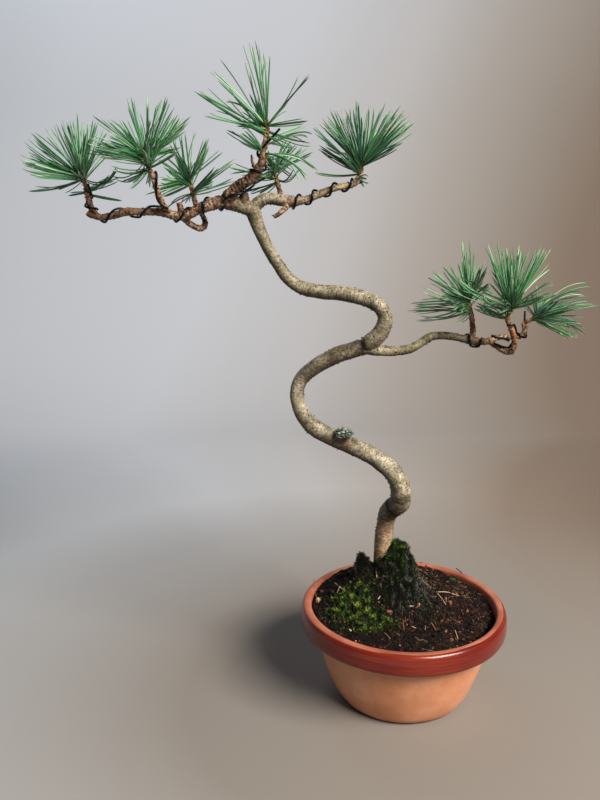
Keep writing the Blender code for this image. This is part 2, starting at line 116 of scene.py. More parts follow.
def blend(tree, share, under, over, kind="MIX"):
    inputs = {"Factor": share, "A": under, "B": over}
    return addNode(tree, "Mix", inputs, data_type="RGBA", blend_type=kind).outputs[2]


def bump(tree, height, strength, distance, below=None, **settings):
    inputs = {"Height": height, "Strength": strength, "Distance": distance}
    if below is not None:
        inputs["Normal"] = below
    return addNode(tree, "Bump", inputs, **settings).outputs["Normal"]


def connect(tree, shader, color, normal=None):
    tree.links.new(color, shader.inputs["Base Color"])
    if normal is not None:
        tree.links.new(normal, shader.inputs["Normal"])


# A finish whose colour follows the tone that each point of the piece carries
def tonedMaterial(name, roughness, ior, *stops):
    finish, tree, shader = newMaterial(name, roughness, ior)
    connect(tree, shader, ramp(tree, pointMark(tree, "tone"), *stops))
    return finish


# Named values at the points of a mesh, a number or a vector each
def addMark(mesh, name, values):
    values = numpy.asarray(values, dtype=float)
    kind, field = ("FLOAT", "value") if values.ndim == 1 else ("FLOAT_VECTOR", "vector")
    mesh.attributes.new(name, kind, "POINT").data.foreach_set(field, values.ravel())


# A mesh piece on the plant's one body; points are in mm
def makePiece(name, points, faces, finishes, slot=None, marks=None, finishOf=None, stands=None, smooth=True):
    mesh = bpy.data.meshes.new(name)
    mesh.from_pydata((numpy.asarray(points, dtype=float) * mm).tolist(), [], faces)
    mesh.polygons.foreach_set("use_smooth", [smooth] * len(mesh.polygons))
    for markName, values in (marks or {}).items():
        addMark(mesh, markName, values)
    for finish in finishes:
        mesh.materials.append(finish)
    if finishOf is not None:
        mesh.polygons.foreach_set("material_index", finishOf)
    piece = bpy.data.objects.new(name, mesh)
    bpy.context.scene.collection.objects.link(piece)
    if slot:
        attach(piece, "root")
    if stands:
        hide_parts(stands)
    return piece


# The piece that stands for a node has its name, in this script's spelling
def pieceName(node):
    first, *rest = node.split("_")
    return first + "".join(word.capitalize() for word in rest)


# The mesh that an object's modifiers give replaces its own
def applyModifiers(piece):
    evaluated = piece.evaluated_get(bpy.context.evaluated_depsgraph_get())
    mesh = bpy.data.meshes.new_from_object(evaluated)
    piece.modifiers.clear()
    piece.data = mesh


# A smooth curve through the points of a route, as points about every step mm: (position, radius)
def smoothRoute(route, step):
    ends = [route[0], *route, route[-1]]
    dense = []
    for before, start, end, after in zip(ends, ends[1:], ends[2:], ends[3:]):
        count = max(1, round(math.dist(start[:3], end[:3]) / step))
        for i in range(count):
            t = i / count
            dense.append([
                b + 0.5 * t * (c - a + t * (2 * a - 5 * b + 4 * c - d + t * (3 * b - a - 3 * c + d)))
                for a, b, c, d in zip(before, start, end, after)
            ])
    dense.append(route[-1])
    return [(Vector(spot[:3]), spot[3]) for spot in dense]


# The direction at each point of a curve, and a side direction that is carried along it without twist
def carriedFrames(points):
    last = len(points) - 1
    tangents = [(points[min(i + 1, last)] - points[max(i - 1, 0)]).normalized() for i in range(last + 1)]
    side = tangents[0].orthogonal().normalized()
    across = [side]
    for old, new in zip(tangents, tangents[1:]):
        side = (old.rotation_difference(new) @ side).normalized()
        across.append(side)
    return tangents, across


# Adds a closed tube along (position, radius) to a list of points and a list of faces
def addTube(points, faces, route, sides):
    tangents, across = carriedFrames([spot for spot, _ in route])
    start = len(points)
    for (spot, radius), tangent, side in zip(route, tangents, across):
        up = tangent.cross(side)
        for k in range(sides):
            turn = 2 * math.pi * k / sides
            points.append(spot + radius * (math.cos(turn) * side + math.sin(turn) * up))
    for i in range(len(route) - 1):
        for k in range(sides):
            low, n = start + i * sides, (k + 1) % sides
            faces.append((low + k, low + n, low + sides + n, low + sides + k))
    faces.append([start + k for k in reversed(range(sides))])
    faces.append([len(points) - sides + k for k in range(sides)])


# A thin plate between the corners of its front and those of its back
def addPlate(points, faces, front, back):
    start, corners = len(points), len(front)
    points += front + back
    faces.append([start + k for k in range(corners)])
    faces.append([start + 2 * corners - 1 - k for k in range(corners)])
    for k in range(corners):
        n = (k + 1) % corners
        faces.append((start + n, start + k, start + corners + k, start + corners + n))


# A rounded form in rows and columns: shape turns a row and an angle into a point and its tone
def addBlob(points, faces, tones, rows, columns, shape):
    start = len(points)
    for i in range(rows + 1):
        for k in range(columns):
            spot, tone = shape(i, 2 * math.pi * k / columns)
            points.append(spot)
            tones.append(tone)
    for i in range(rows):
        low = start + i * columns
        for k in range(columns):
            n = (k + 1) % columns
            faces.append((low + n, low + k, low + columns + k, low + columns + n))


# A turned solid: rings of (radius, height), each ring a function of the angle or a plain pair
def turnedShape(rings, sides, closed=False):
    points = []
    for ring in rings:
        for k in range(sides):
            turn = 2 * math.pi * k / sides
            radius, height = ring(turn) if callable(ring) else ring
            points.append((radius * math.cos(turn), radius * math.sin(turn), height))
    faces = []
    for i in range(len(rings) if closed else len(rings) - 1):
        low, high = i * sides, (i + 1) % len(rings) * sides
        faces += [(low + k, low + (k + 1) % sides, high + (k + 1) % sides, high + k) for k in range(sides)]
    return points, faces


# Camera and the photograph's frame

camera = dict(lens=35, sensor=36, x=-76, y=-526.5, z=345.5, tilt=77, width=600, height=800)


def makeCamera():
    data = bpy.data.cameras.new("camera")
    data.lens = camera["lens"]
    data.sensor_width = camera["sensor"]
    holder = bpy.data.objects.new("camera", data)
    holder.location = Vector((camera["x"], camera["y"], camera["z"])) * mm
    holder.rotation_euler = (math.radians(camera["tilt"]), 0, 0)
    bpy.context.scene.collection.objects.link(holder)
    bpy.context.scene.camera = holder


# The line of sight through a pixel: its start, and its direction
def sightLine(u, v):
    focal = camera["lens"] / camera["sensor"] * camera["height"]
    tilt = math.radians(camera["tilt"])
    across, up = u - camera["width"] / 2, camera["height"] / 2 - v
    direction = Vector((
        across,
        up * math.cos(tilt) + focal * math.sin(tilt),
        up * math.sin(tilt) - focal * math.cos(tilt),
    ))
    return Vector((camera["x"], camera["y"], camera["z"])), direction


def atPixel(u, v, depth):  # the point seen there at a given y
    eye, direction = sightLine(u, v)
    return eye + direction * ((depth - eye.y) / direction.y)


# Studio: a pale floor that curves up into a wall all round, and soft lights

studio = dict(radius=1350, wall=1700, bend=600, bendSteps=25, flat=(1, 200, 450), drop=0.1, sides=96)
lights = {
    "key": dict(place=(690, -790, 980), aim=(-60, 0, 240), size=(820, 440), power=41.0, color="#fff3e4"),
    "wall": dict(
        place=(-500, 700, 1250), aim=(-300, 1350, 500), size=(700, 400), power=5.0, color="#eef3ff",
    ),
}
sky = dict(color="#dbe4f2", strength=0.03)


def finishStudio():
    # Wall paint, rolled on: matt, cool and pale on the left, warm brown on the right, dark by the pot, with
    # painted shade that darkens it low down on the right
    paintAndShade, tree, shader = newMaterial("mattPaintAndShade", roughness=0.9)
    place = addNode(tree, "SeparateXYZ", {"Vector": objectPlace(tree)}).outputs
    # painted shade: near the pot and low down, the dark brown side reaches further left
    steep = reckon(tree, "MULTIPLY", place["X"], remap(tree, place["Y"], 0.3, 0.7, 2.4, 1.0))
    lowered = reckon(tree, "MULTIPLY_ADD", place["Z"], -0.4, steep)
    wall = ramp(
        tree, remap(tree, lowered, -1.5, 1.2), (0.0, "#868f96"), (0.25, "#b4bbc3"), (0.42, "#c2c8d0"),
        (0.52, "#bdbfc2"), (0.58, "#afaca9"), (0.63, "#a29c96"), (0.7, "#897c70"), (1.0, "#4c4037"),
    )
    away = addNode(tree, "VectorMath", {0: objectPlace(tree)}, operation="LENGTH").outputs["Value"]
    color = blend(tree, remap(tree, away, 0.16, 0.45), linear("#837f7b"), wall)
    # the sides and the part behind the camera are dim, so that little light fills the shadows
    back = reckon(tree, "MULTIPLY_ADD", reckon(tree, "ABSOLUTE", place["X"]), -0.9, place["Y"])
    dim = remap(tree, back, -1.1, -0.35, 0.3, 1.0)
    connect(tree, shader, blend(tree, 1.0, color, dim, "MULTIPLY"))
    return paintAndShade


def makeStudio():
    reach, bend = studio["radius"], studio["bend"]
    turns = numpy.linspace(0, math.pi / 2, studio["bendSteps"])
    arc = [(reach - bend + bend * math.sin(turn), bend - bend * math.cos(turn)) for turn in turns]
    rings = [*((radius, 0) for radius in studio["flat"]), *arc, (reach, studio["wall"])]
    points, faces = turnedShape([(r, h - studio["drop"]) for r, h in rings], studio["sides"])
    faces.append(list(reversed(range(studio["sides"]))))
    makePiece("studioFloor", points, faces, [finishStudio()])


def makeLights():
    for name, light in lights.items():
        data = bpy.data.lights.new(name, "AREA")
        data.shape = "RECTANGLE"
        data.size, data.size_y = (side * mm for side in light["size"])
        data.energy = light["power"]
        data.color = linear(light["color"])[:3]
        lamp = bpy.data.objects.new(name, data)
        lamp.location = Vector(light["place"]) * mm
        aim = Vector(light["aim"]) - Vector(light["place"])
        lamp.rotation_euler = aim.to_track_quat("-Z", "Y").to_euler()
        bpy.context.scene.collection.objects.link(lamp)
    world = bpy.data.worlds.new("room")
    world.use_nodes = True
    background = world.node_tree.nodes["Background"]
    background.inputs["Color"].default_value = linear(sky["color"])
    background.inputs["Strength"].default_value = sky["strength"]
    bpy.context.scene.world = world
    bpy.context.scene.view_settings.view_transform = "Standard"


# Pot: fired terracotta, with a glazed band round the rim

pot = dict(
    height=71, footRadius=43.0, bodyTop=65.2, bodyCurve=0.58, bandHeight=15.6, wall=5, floor=7, inner=67.5,
    sides=200, holes=3, holeRadius=5, holeCircle=24, holeSides=40, wave=0.28, ridge=0.07,
)
# outlines as (radius, height): the foot's underside and edge, the band round its outside, the shelf inside
footOutline = [(0.01, 0), (38.0, 0), (40.8, 0), (41.9, 0.35), (42.6, 1.3)]
bandOutline = [
    (65.2, 54.2), (66.6, 55.1), (69.4, 55.3), (72.4, 55.4), (73.6, 55.9), (74.3, 57.1), (74.6, 59.4),
    (74.7, 62.2), (74.6, 65.0), (74.3, 67.4), (73.7, 69.2), (72.8, 70.3), (71.6, 70.85), (70.2, 71.0),
    (68.9, 70.85), (68.0, 70.3), (67.55, 69.3), (67.5, 66.0),
]
shelfOutline = [(67.5, 60.5), (66.9, 58.2), (64.4, 56.2)]
# the glaze: how thick it is, how deep it bites, its lower edge along the band, and the point it ends at
glaze = dict(thick=0.35, sunk=0.3, rings=26, lowEdge=3.0, highPoint=11, edgeFade=6)


def bodyRadius(height):
    share = height / (pot["height"] - pot["bandHeight"])
    return pot["footRadius"] + (pot["bodyTop"] - pot["footRadius"]) * share ** pot["bodyCurve"]


# A wheel-thrown wall is never quite true: a slow wave of a few tenths round it, and low throwing ridges
def thrown(radius, height, turn):
    wave = noise.noise(Vector((math.cos(turn) * 1.6, math.sin(turn) * 1.6, height / 60)))
    ridge = noise.noise(Vector((math.cos(turn) * 0.7, math.sin(turn) * 0.7, height / 2.2 + 40)))
    return radius + pot["wave"] * wave + pot["ridge"] * ridge


def finishTerracotta():
    # Terracotta, thrown and fired unglazed: dry and matt, mottled where the clay is sandier or burnt harder
    finish, tree, shader = newMaterial("terracotta", roughness=0.62, ior=1.5)
    place = objectPlace(tree)
    cloud = cloudy(tree, place, 34.0, 5.0, 0.6)
    grit = cloudy(tree, place, 1900.0, 2.0)
    body = ramp(tree, cloud, (0.28, "#ba7856"), (0.5, "#cc8d6a"), (0.72, "#dba182"))
    speck = ramp(tree, grit, (0.30, "#8f5230"), (0.44, "#ffffff"))
    specked = blend(tree, 0.25, body, speck, "MULTIPLY")
    # the rim and the inside, above the body, are pinker where the glaze has stained the clay
    isRim = remap(tree, addNode(tree, "SeparateXYZ", {"Vector": place}).outputs["Z"], 0.0535, 0.0565)
    rim = ramp(tree, cloud, (0.3, "#8a4733"), (0.5, "#a45d46"), (0.7, "#b8745a"))
    # throwing lines about 1.6 mm apart, and sand grains of half a millimetre
    lines = cloudy(tree, stretched(tree, place, (0.15, 0.15, 1.0)), 620.0, 2.0)
    grain = bump(tree, grit, 0.22, 0.0004, bump(tree, lines, 0.12, 0.0006))
    connect(tree, shader, blend(tree, isRim, specked, rim), grain)
    return finish


def finishGlaze():
    # Iron-red glaze, brushed on while the pot turned: glossy and even, with hair-fine brush lines round it
    finish, tree, shader = newMaterial("ironRedGlaze", roughness=0.24, ior=1.4)
    shader.inputs["Coat Weight"].default_value = 0.15
    shader.inputs["Coat Roughness"].default_value = 0.07
    place = objectPlace(tree)
    strokes = cloudy(tree, stretched(tree, place, (0.025, 0.025, 1.0)), 1500.0, 2.0)
    mixed = addNode(tree, "Mix", {"Factor": 0.6, "A": cloudy(tree, place, 25.0, 2.0), "B": strokes},
                    data_type="FLOAT").outputs[0]
    color = ramp(tree, mixed, (0.3, "#561410"), (0.5, "#6d2119"), (0.7, "#863320"))
    connect(tree, shader, color, bump(tree, strokes, 0.16, 0.0005))
    return finish


def makePot():
    bandLow = pot["height"] - pot["bandHeight"]
    outside = [(bodyRadius(h), h) for h in numpy.linspace(2.4, bandLow - 2.6, 22)]
    inside = [(bodyRadius(h) - pot["wall"], h) for h in numpy.linspace(bandLow - 1, pot["floor"] + 2, 14)]
    floor = [(inside[-1][0] - 2, pot["floor"]), (30, pot["floor"]), (0.01, pot["floor"])]
    outline = footOutline + outside + bandOutline + shelfOutline + inside + floor
    rings = [lambda turn, r=r, h=h: (thrown(r, h, turn) if r > 1 else r, h) for r, h in outline]
    points, faces = turnedShape(rings, pot["sides"])
    faces.append(list(reversed(range(pot["sides"]))))
    faces.append(list(range(len(points) - pot["sides"], len(points))))
    clay = makePiece("potBody", points, faces, [finishTerracotta()], "terracotta", stands="pot")
    cutPoints, cutFaces = [], []
    for k in range(pot["holes"]):
        turn = 2 * math.pi * k / pot["holes"]
        x, y = pot["holeCircle"] * math.sin(turn), pot["holeCircle"] * math.cos(turn)
        route = [(Vector((x, y, z)), pot["holeRadius"]) for z in (-2, pot["floor"] + 2)]
        addTube(cutPoints, cutFaces, route, pot["holeSides"])
    mesh = bpy.data.meshes.new("drainHoles")
    mesh.from_pydata([tuple(p * mm) for p in cutPoints], [], cutFaces)
    cutter = bpy.data.objects.new("drainHoles", mesh)
    bpy.context.scene.collection.objects.link(cutter)
    modifier = clay.modifiers.new("drainHoles", "BOOLEAN")
    modifier.operation = "DIFFERENCE"
    modifier.object = cutter
    modifier.solver = "MANIFOLD"
    applyModifiers(clay)
    bpy.data.objects.remove(cutter)
    clay.data.set_sharp_from_angle(angle=math.radians(50))


# The glaze lies on the band as a thin coat, and its edges wander a little
def makeGlaze():
    outline = [Vector(spot) for spot in bandOutline]
    last = len(outline) - 1
    reach = [0.0]
    for old, new in zip(outline, outline[1:]):
        reach.append(reach[-1] + (new - old).length)

    def onBand(distance):
        k = max(n for n in range(last) if reach[n] <= distance)
        part = (distance - reach[k]) / (reach[k + 1] - reach[k])
        ahead = outline[k + 1] - outline[k]
        nextAhead = outline[min(k + 2, last)] - outline[min(k + 1, last - 1)]
        ahead = ahead.normalized().lerp(nextAhead.normalized(), part).normalized()
        return outline[k].lerp(outline[k + 1], part), Vector((ahead.y, -ahead.x))

    # each edge runs a little further at one place, where the brush was fuller
    def ring(share, proud):
        def spotAt(turn):
            wander = Vector((math.cos(turn) * 2.2, math.sin(turn) * 2.2, 3.0))
            low = glaze["lowEdge"] + 0.7 * noise.noise(wander) + 0.9 * math.exp(-((turn - 3.9) / 0.5) ** 2)
            high = reach[glaze["highPoint"]] + 0.35 * noise.noise(wander * 1.7)
            high += 1.3 * math.exp(-((turn - 5.4) / 0.9) ** 2)
            spot, normal = onBand(low + (high - low) * share)
            return (thrown(spot.x, spot.y, turn) + normal.x * proud, spot.y + normal.y * proud)
        return spotAt

    count, fade = glaze["rings"], glaze["edgeFade"]
    outer = []
    for j in range(count + 1):
        thinned = min(1, fade * j / count, fade * (count - j) / count) ** 0.5
        outer.append(ring(j / count, glaze["thick"] * thinned))
    inner = [ring(j / count, -glaze["sunk"]) for j in range(count, -1, -1)]
    points, faces = turnedShape(outer + inner, pot["sides"], closed=True)
    makePiece("rimGlaze", points, faces, [finishGlaze()], "terracotta")


# Wood: the same routes as in the solid part, each with x, y, z and radius

wood = {
    "trunk": dict(route=[
        (-14, 12, 58, 7.2), (-14, 12, 90, 7.2), (-14, 12, 116, 6.8), (-13.2, 11, 127, 6.5),
        (-12, 8, 137, 6.8), (-9, 2, 144, 7.3), (-5.5, -5, 150.5, 7.5), (-5, -8, 158, 7.2),
        (-7, -8, 167, 6.9), (-13, -6, 175.5, 6.6), (-24.5, -2, 183.5, 6.2), (-39.5, 3, 190, 6.2),
        (-55.5, 7, 196.3, 6.3), (-68, 10, 203.5, 6.0), (-76, 13, 214.5, 5.3), (-78, 14, 227, 5.0),
        (-74, 13, 237.5, 5.1), (-63.7, 9, 246.7, 5.5), (-51.3, 4, 254.4, 5.7), (-40, 0, 259, 5.7),
        (-30, -4, 263.7, 5.9), (-22, -7, 272, 5.6), (-19, -8, 282, 5.1), (-24, -8, 290.5, 5.1),
        (-34, -6, 295, 5.2), (-48, -2, 297.7, 5.1), (-62, 1, 298.5, 4.9), (-75, 4, 301.2, 4.6),
        (-84, 5, 307.2, 4.3), (-90.4, 5, 316, 4.0), (-98, 4, 328.5, 3.9), (-103.6, 2, 341, 4.4),
        (-107, 0, 352, 5.0),
    ], flaky=0.0),
    "trunk_stub": dict(route=[(-47, 4, 192, 4.0), (-46, 1, 199, 5.4), (-45, -0.5, 202, 4.6)], flaky=0.2),
    "left_limb": dict(route=[
        (-104, 0, 350, 3.6), (-113, -1, 354.2, 4.8), (-120, -2, 356.4, 4.7), (-128, -3, 357, 4.2),
        (-136, -3, 355, 3.8), (-143, -2, 352.5, 3.3), (-150, -1, 349, 3.1), (-157, 0, 348.5, 2.9),
        (-169, 0, 351, 2.5), (-180, 1, 351, 2.5), (-190, 2, 351, 2.5), (-199, 4, 349, 2.3),
        (-207, 5, 347.5, 2.2), (-214, 6, 348.5, 1.9), (-218, 7, 350, 1.7),
    ], flaky=[(0, 0.0), (10, 0.05), (17, 0.7), (24, 0.9)]),
    "far_left_twig": dict(route=[
        (-210, 5.5, 348, 1.6), (-214, 6, 352, 2.1), (-216, 6, 358, 2.1), (-217, 6, 364, 1.9),
    ], flaky=1.0),
    "left_front_twig": dict(route=[
        (-161, 0, 350, 1.8), (-164, -5, 354, 2.0), (-166, -9, 359, 1.9), (-168, -12, 366, 1.8),
        (-169, -14, 372, 1.7), (-171, -15, 377, 1.6),
    ], flaky=1.0),
    "left_back_twig": dict(route=[
        (-154, 0, 348, 1.9), (-150, 4, 344, 2.1), (-146, 8, 341, 2.1), (-142, 12, 340.5, 2.0),
        (-140.5, 16, 344, 1.8), (-143, 19, 350, 1.8), (-147, 22, 356, 1.8), (-149, 24, 362, 1.8),
    ], flaky=1.0),
    "left_stub": dict(route=[
        (-153, 0, 349, 1.8), (-154.5, -1.5, 354, 2.1), (-155, -2, 357, 1.7),
    ], flaky=1.0),
    "top_riser": dict(route=[
        (-127, -2, 356, 3.2), (-122, -6, 361, 4.1), (-115, -9, 367, 3.7), (-108, -12, 371, 3.3),
        (-103, -13, 376, 3.0), (-100, -14, 382, 2.5), (-99.5, -14, 388, 2.1), (-98, -15, 392, 2.1),
        (-97, -15, 396, 1.8),
    ], flaky=1.0),
    "fork_knob": dict(route=[
        (-111, -1, 354, 2.6), (-112.5, -2.5, 360, 3.2), (-113, -3, 363.5, 2.4),
    ], flaky=0.6),
    "dead_twig": dict(route=[
        (-104, -13, 376, 1.0), (-106, -15, 381, 1.0), (-106.5, -16, 386, 0.7),
    ], flaky=0.8),
    "right_limb": dict(route=[
        (-107, 0, 351, 3.9), (-104, 1, 356.5, 4.3), (-97, 1, 359.5, 4.0), (-89, 0, 358.5, 3.9),
        (-82, -1, 357.5, 3.7), (-76, -2, 358, 2.8), (-70, -3, 359.5, 2.4), (-64, -4, 362, 2.5),
        (-58, -5, 364.5, 2.3), (-51, -6, 366.5, 2.1), (-45, -6, 367.5, 2.1), (-40, -6, 369.5, 2.1),
        (-38, -6, 373, 1.9),
    ], flaky=[(0, 0.0), (24, 0.05), (28, 0.6), (33, 0.3), (60, 0.35), (75, 0.6)]),
    "right_stub": dict(route=[(-83, -1, 356, 2.0), (-88, -5, 351, 1.7), (-93, -7, 347.5, 1.4)], flaky=1.0),
    "middle_back_twig": dict(route=[
        (-91, 1, 359, 2.0), (-89, 8, 362, 1.8), (-90, 12, 366, 1.7), (-91, 15, 370, 1.6),
    ], flaky=0.8),
    "lower_limb": dict(route=[
        (-34, -3, 261.5, 3.6), (-26, -3.5, 260, 4.1), (-17, -1, 258.5, 3.5), (-8, 1, 258.5, 3.3),
        (0, 2, 260, 3.2), (7, 3, 263.5, 3.0), (13, 4, 267.3, 2.9), (20, 4, 268.5, 2.8), (28, 4, 268, 2.7),
        (36, 3, 266.5, 2.7), (43, 2, 265, 2.8), (49, 0, 265, 2.5), (54, -3, 265.5, 2.2),
    ], flaky=[(0, 0.0), (60, 0.2), (80, 0.4), (90, 0.9)]),
    "low_left_twig": dict(route=[
        (42, 2, 265, 1.9), (43, 6, 270, 2.1), (43, 9, 277, 1.9), (42, 12, 284, 1.8),
    ], flaky=1.0),
    "low_front_twig": dict(route=[
        (52, -2, 265.5, 1.8), (57, -6, 262.5, 1.9), (61, -10, 260, 1.9), (65, -13, 260, 1.9),
        (66.5, -15, 265, 1.9), (65.5, -16, 270, 1.9), (63.5, -16.5, 275, 1.9), (61, -17, 280, 1.8),
    ], flaky=1.0),
    "low_right_twig": dict(route=[
        (49, 0, 265, 1.9), (56, 5, 265.5, 1.9), (64, 8, 267, 1.8), (71, 9, 267, 1.7), (77, 10, 267, 1.7),
        (80, 11.5, 269.5, 1.7), (80, 12, 273, 1.6),
    ], flaky=1.0),
}
# lit is the light's direction, for the bark's painted shade
bark = dict(
    step=1.2, sides=26, voxel=0.6, relief=0.34, rings=0.16, rough=0.4, fold=0.2, foldEvery=2.6, knobs=0.9,
    sample=0.5, bendReach=6, lit=Vector((0.2, -0.3, 0.93)),
)
# the waves in the relief: size along the limb, size round it, and a shift
waves = dict(
    lumps=(9, 7, (0, 0, 0)), fine=(1.3, 5, (0, 0, 0)), rough=(2.2, 1.8, (7, 7, 7)),
    bead=(1.3, 2.4, (1, 4, 8)), pits=(2.4, 2.0, (3, 9, 1)),
)
# deep creases round the wood, with painted shade in them: a point on it, depth and half width along it
creases = [
    ((-32, -3, 263), 1.2, 2.3), ((-8, -1, 146.5), 1.3, 1.3), ((-5, -7, 155), 0.7, 1.0),
    ((-9, -1, 159), 0.4, 1.2), ((-12.6, 8, 136), 0.5, 1.0),
]
# where the bark has another tone, and one painted shadow: a point, reach in mm, tone and share
stainsAndShadow = [
    # trunk
    ((-14, 12, 84), 13, "#a86a42", 0.9), ((-14, 12, 103), 14, "#cda07c", 0.9),
    ((-14, 12, 121), 11, "#c9a684", 0.8), ((-11, -2, 151), 6.5, "#48301a", 1.5),
    ((-3, -5, 143.5), 3.5, "#d8c8a0", 1.0), ((-47, -4, 194), 7, "#6a4029", 0.7),
    ((-14, 6, 112), 5, "#e8d6ba", 0.8), ((-45, -1, 205), 4, "#4c5951", 1.0),
    ((-12, 8, 94), 4, "#c0a488", 0.5), ((-8, -2, 147), 7, "#5a4128", 0.6),
    ((-60, 1, 298), 16, "#6f6d4c", 0.35), ((-88, 5, 318), 20, "#767556", 0.4),
    # the dark olive at (-49, -3, 254) is a painted shadow that the bend above casts on the trunk
    ((-105, 0, 350), 9, "#a59f84", 0.6), ((-49, -3, 254), 12, "#6b5b3b", 0.7),
    ((-36, -3, 262), 8, "#554228", 0.75), ((-60, -4, 246), 9, "#7c6c4c", 0.5),
    # left limb and its twigs
    ((-112, -3, 362), 5, "#3d2717", 0.9), ((-128, -4, 358), 8, "#6d5547", 0.7),
    ((-140, -3, 354), 6, "#69341c", 0.8), ((-152, -1, 349), 7, "#8a7048", 0.5),
    ((-170, 0, 351), 9, "#8b6242", 0.6), ((-186, 1, 351), 8, "#a98a68", 0.5),
    ((-203, 5, 348), 6, "#8b6a4c", 0.5), ((-215, 6, 349), 6, "#9c6842", 0.7),
    ((-216, 6, 358), 6, "#93603c", 0.6), ((-155, -2, 358), 4, "#a0704a", 0.7),
    ((-166, -10, 362), 10, "#a98460", 0.7), ((-142, 12, 342), 7, "#6e4a34", 0.6),
    # top riser
    ((-115, -9, 367), 10, "#5c4930", 0.9), ((-107, -12, 373), 7, "#5a4026", 0.9),
    ((-100, -14, 383), 7, "#70482a", 0.8), ((-123, -5, 360), 6, "#8a7463", 0.7),
    # right limb
    ((-84, 0, 358), 7, "#b0a080", 0.5), ((-79, -2, 358), 4, "#8c5634", 0.8),
    ((-93, -7, 348), 5, "#5c3a28", 0.7), ((-67, -8, 363), 12, "#f4e7cb", 1.0),
    ((-60, -5, 363), 4, "#a4694a", 0.6), ((-50, -10, 368), 12, "#eedab6", 1.0),
    ((-42, -6, 370), 5, "#c9a988", 0.7), ((-37, -6, 375), 4, "#bd9374", 0.7),
    # lower right limb and its twigs, and the twig behind the fork
    ((5, 3, 262), 15, "#8a8c5c", 0.5), ((27, 4, 268), 10, "#7c8050", 0.5),
    ((46, 1, 265), 7, "#7d7452", 0.5), ((43, 8, 276), 8, "#8c5536", 0.8),
    ((62, -11, 260), 7, "#5e3f2c", 0.8), ((64, -16, 272), 8, "#a9714c", 0.8),
    ((72, 9, 267), 8, "#7b5a45", 0.7), ((81, 12, 272), 5, "#9a6a4c", 0.6),
    ((-90, 10, 364), 6, "#9a6138", 0.7),
]


# How scaly a limb's bark is, one value for all of it or stops of (mm along, value)
def flakyAt(limb, along):
    if isinstance(limb["flaky"], float):
        return limb["flaky"]
    return float(numpy.interp(along, *zip(*limb["flaky"])))


# Centre-line samples of all the wood
def woodSamples():
    samples = []
    for limb in wood.values():
        spine = smoothRoute(limb["route"], bark["sample"])
        tangents, across = carriedFrames([spot for spot, _ in spine])
        last, reach = len(spine) - 1, bark["bendReach"]
        along = 0.0
        for i, (spot, radius) in enumerate(spine):
            along += (spot - spine[i - 1][0]).length if i else 0.0
            bend = (tangents[min(last, i + reach)] - tangents[max(0, i - reach)]) / reach
            samples.append(dict(
                spot=spot, radius=radius, along=along, tangent=tangents[i], side=across[i], bend=bend,
                flaky=flakyAt(limb, along),
            ))
    tree = kdtree.KDTree(len(samples))
    for i, sample in enumerate(samples):
        tree.insert(sample["spot"], i)
    tree.balance()
    return samples, tree


# The sample whose limb's surface is nearest, which isn't always the one with the nearest centre
def nearestSample(spot, samples, tree):
    return samples[min(tree.find_n(spot, 10), key=lambda hit: hit[2] - samples[hit[1]]["radius"])[1]]


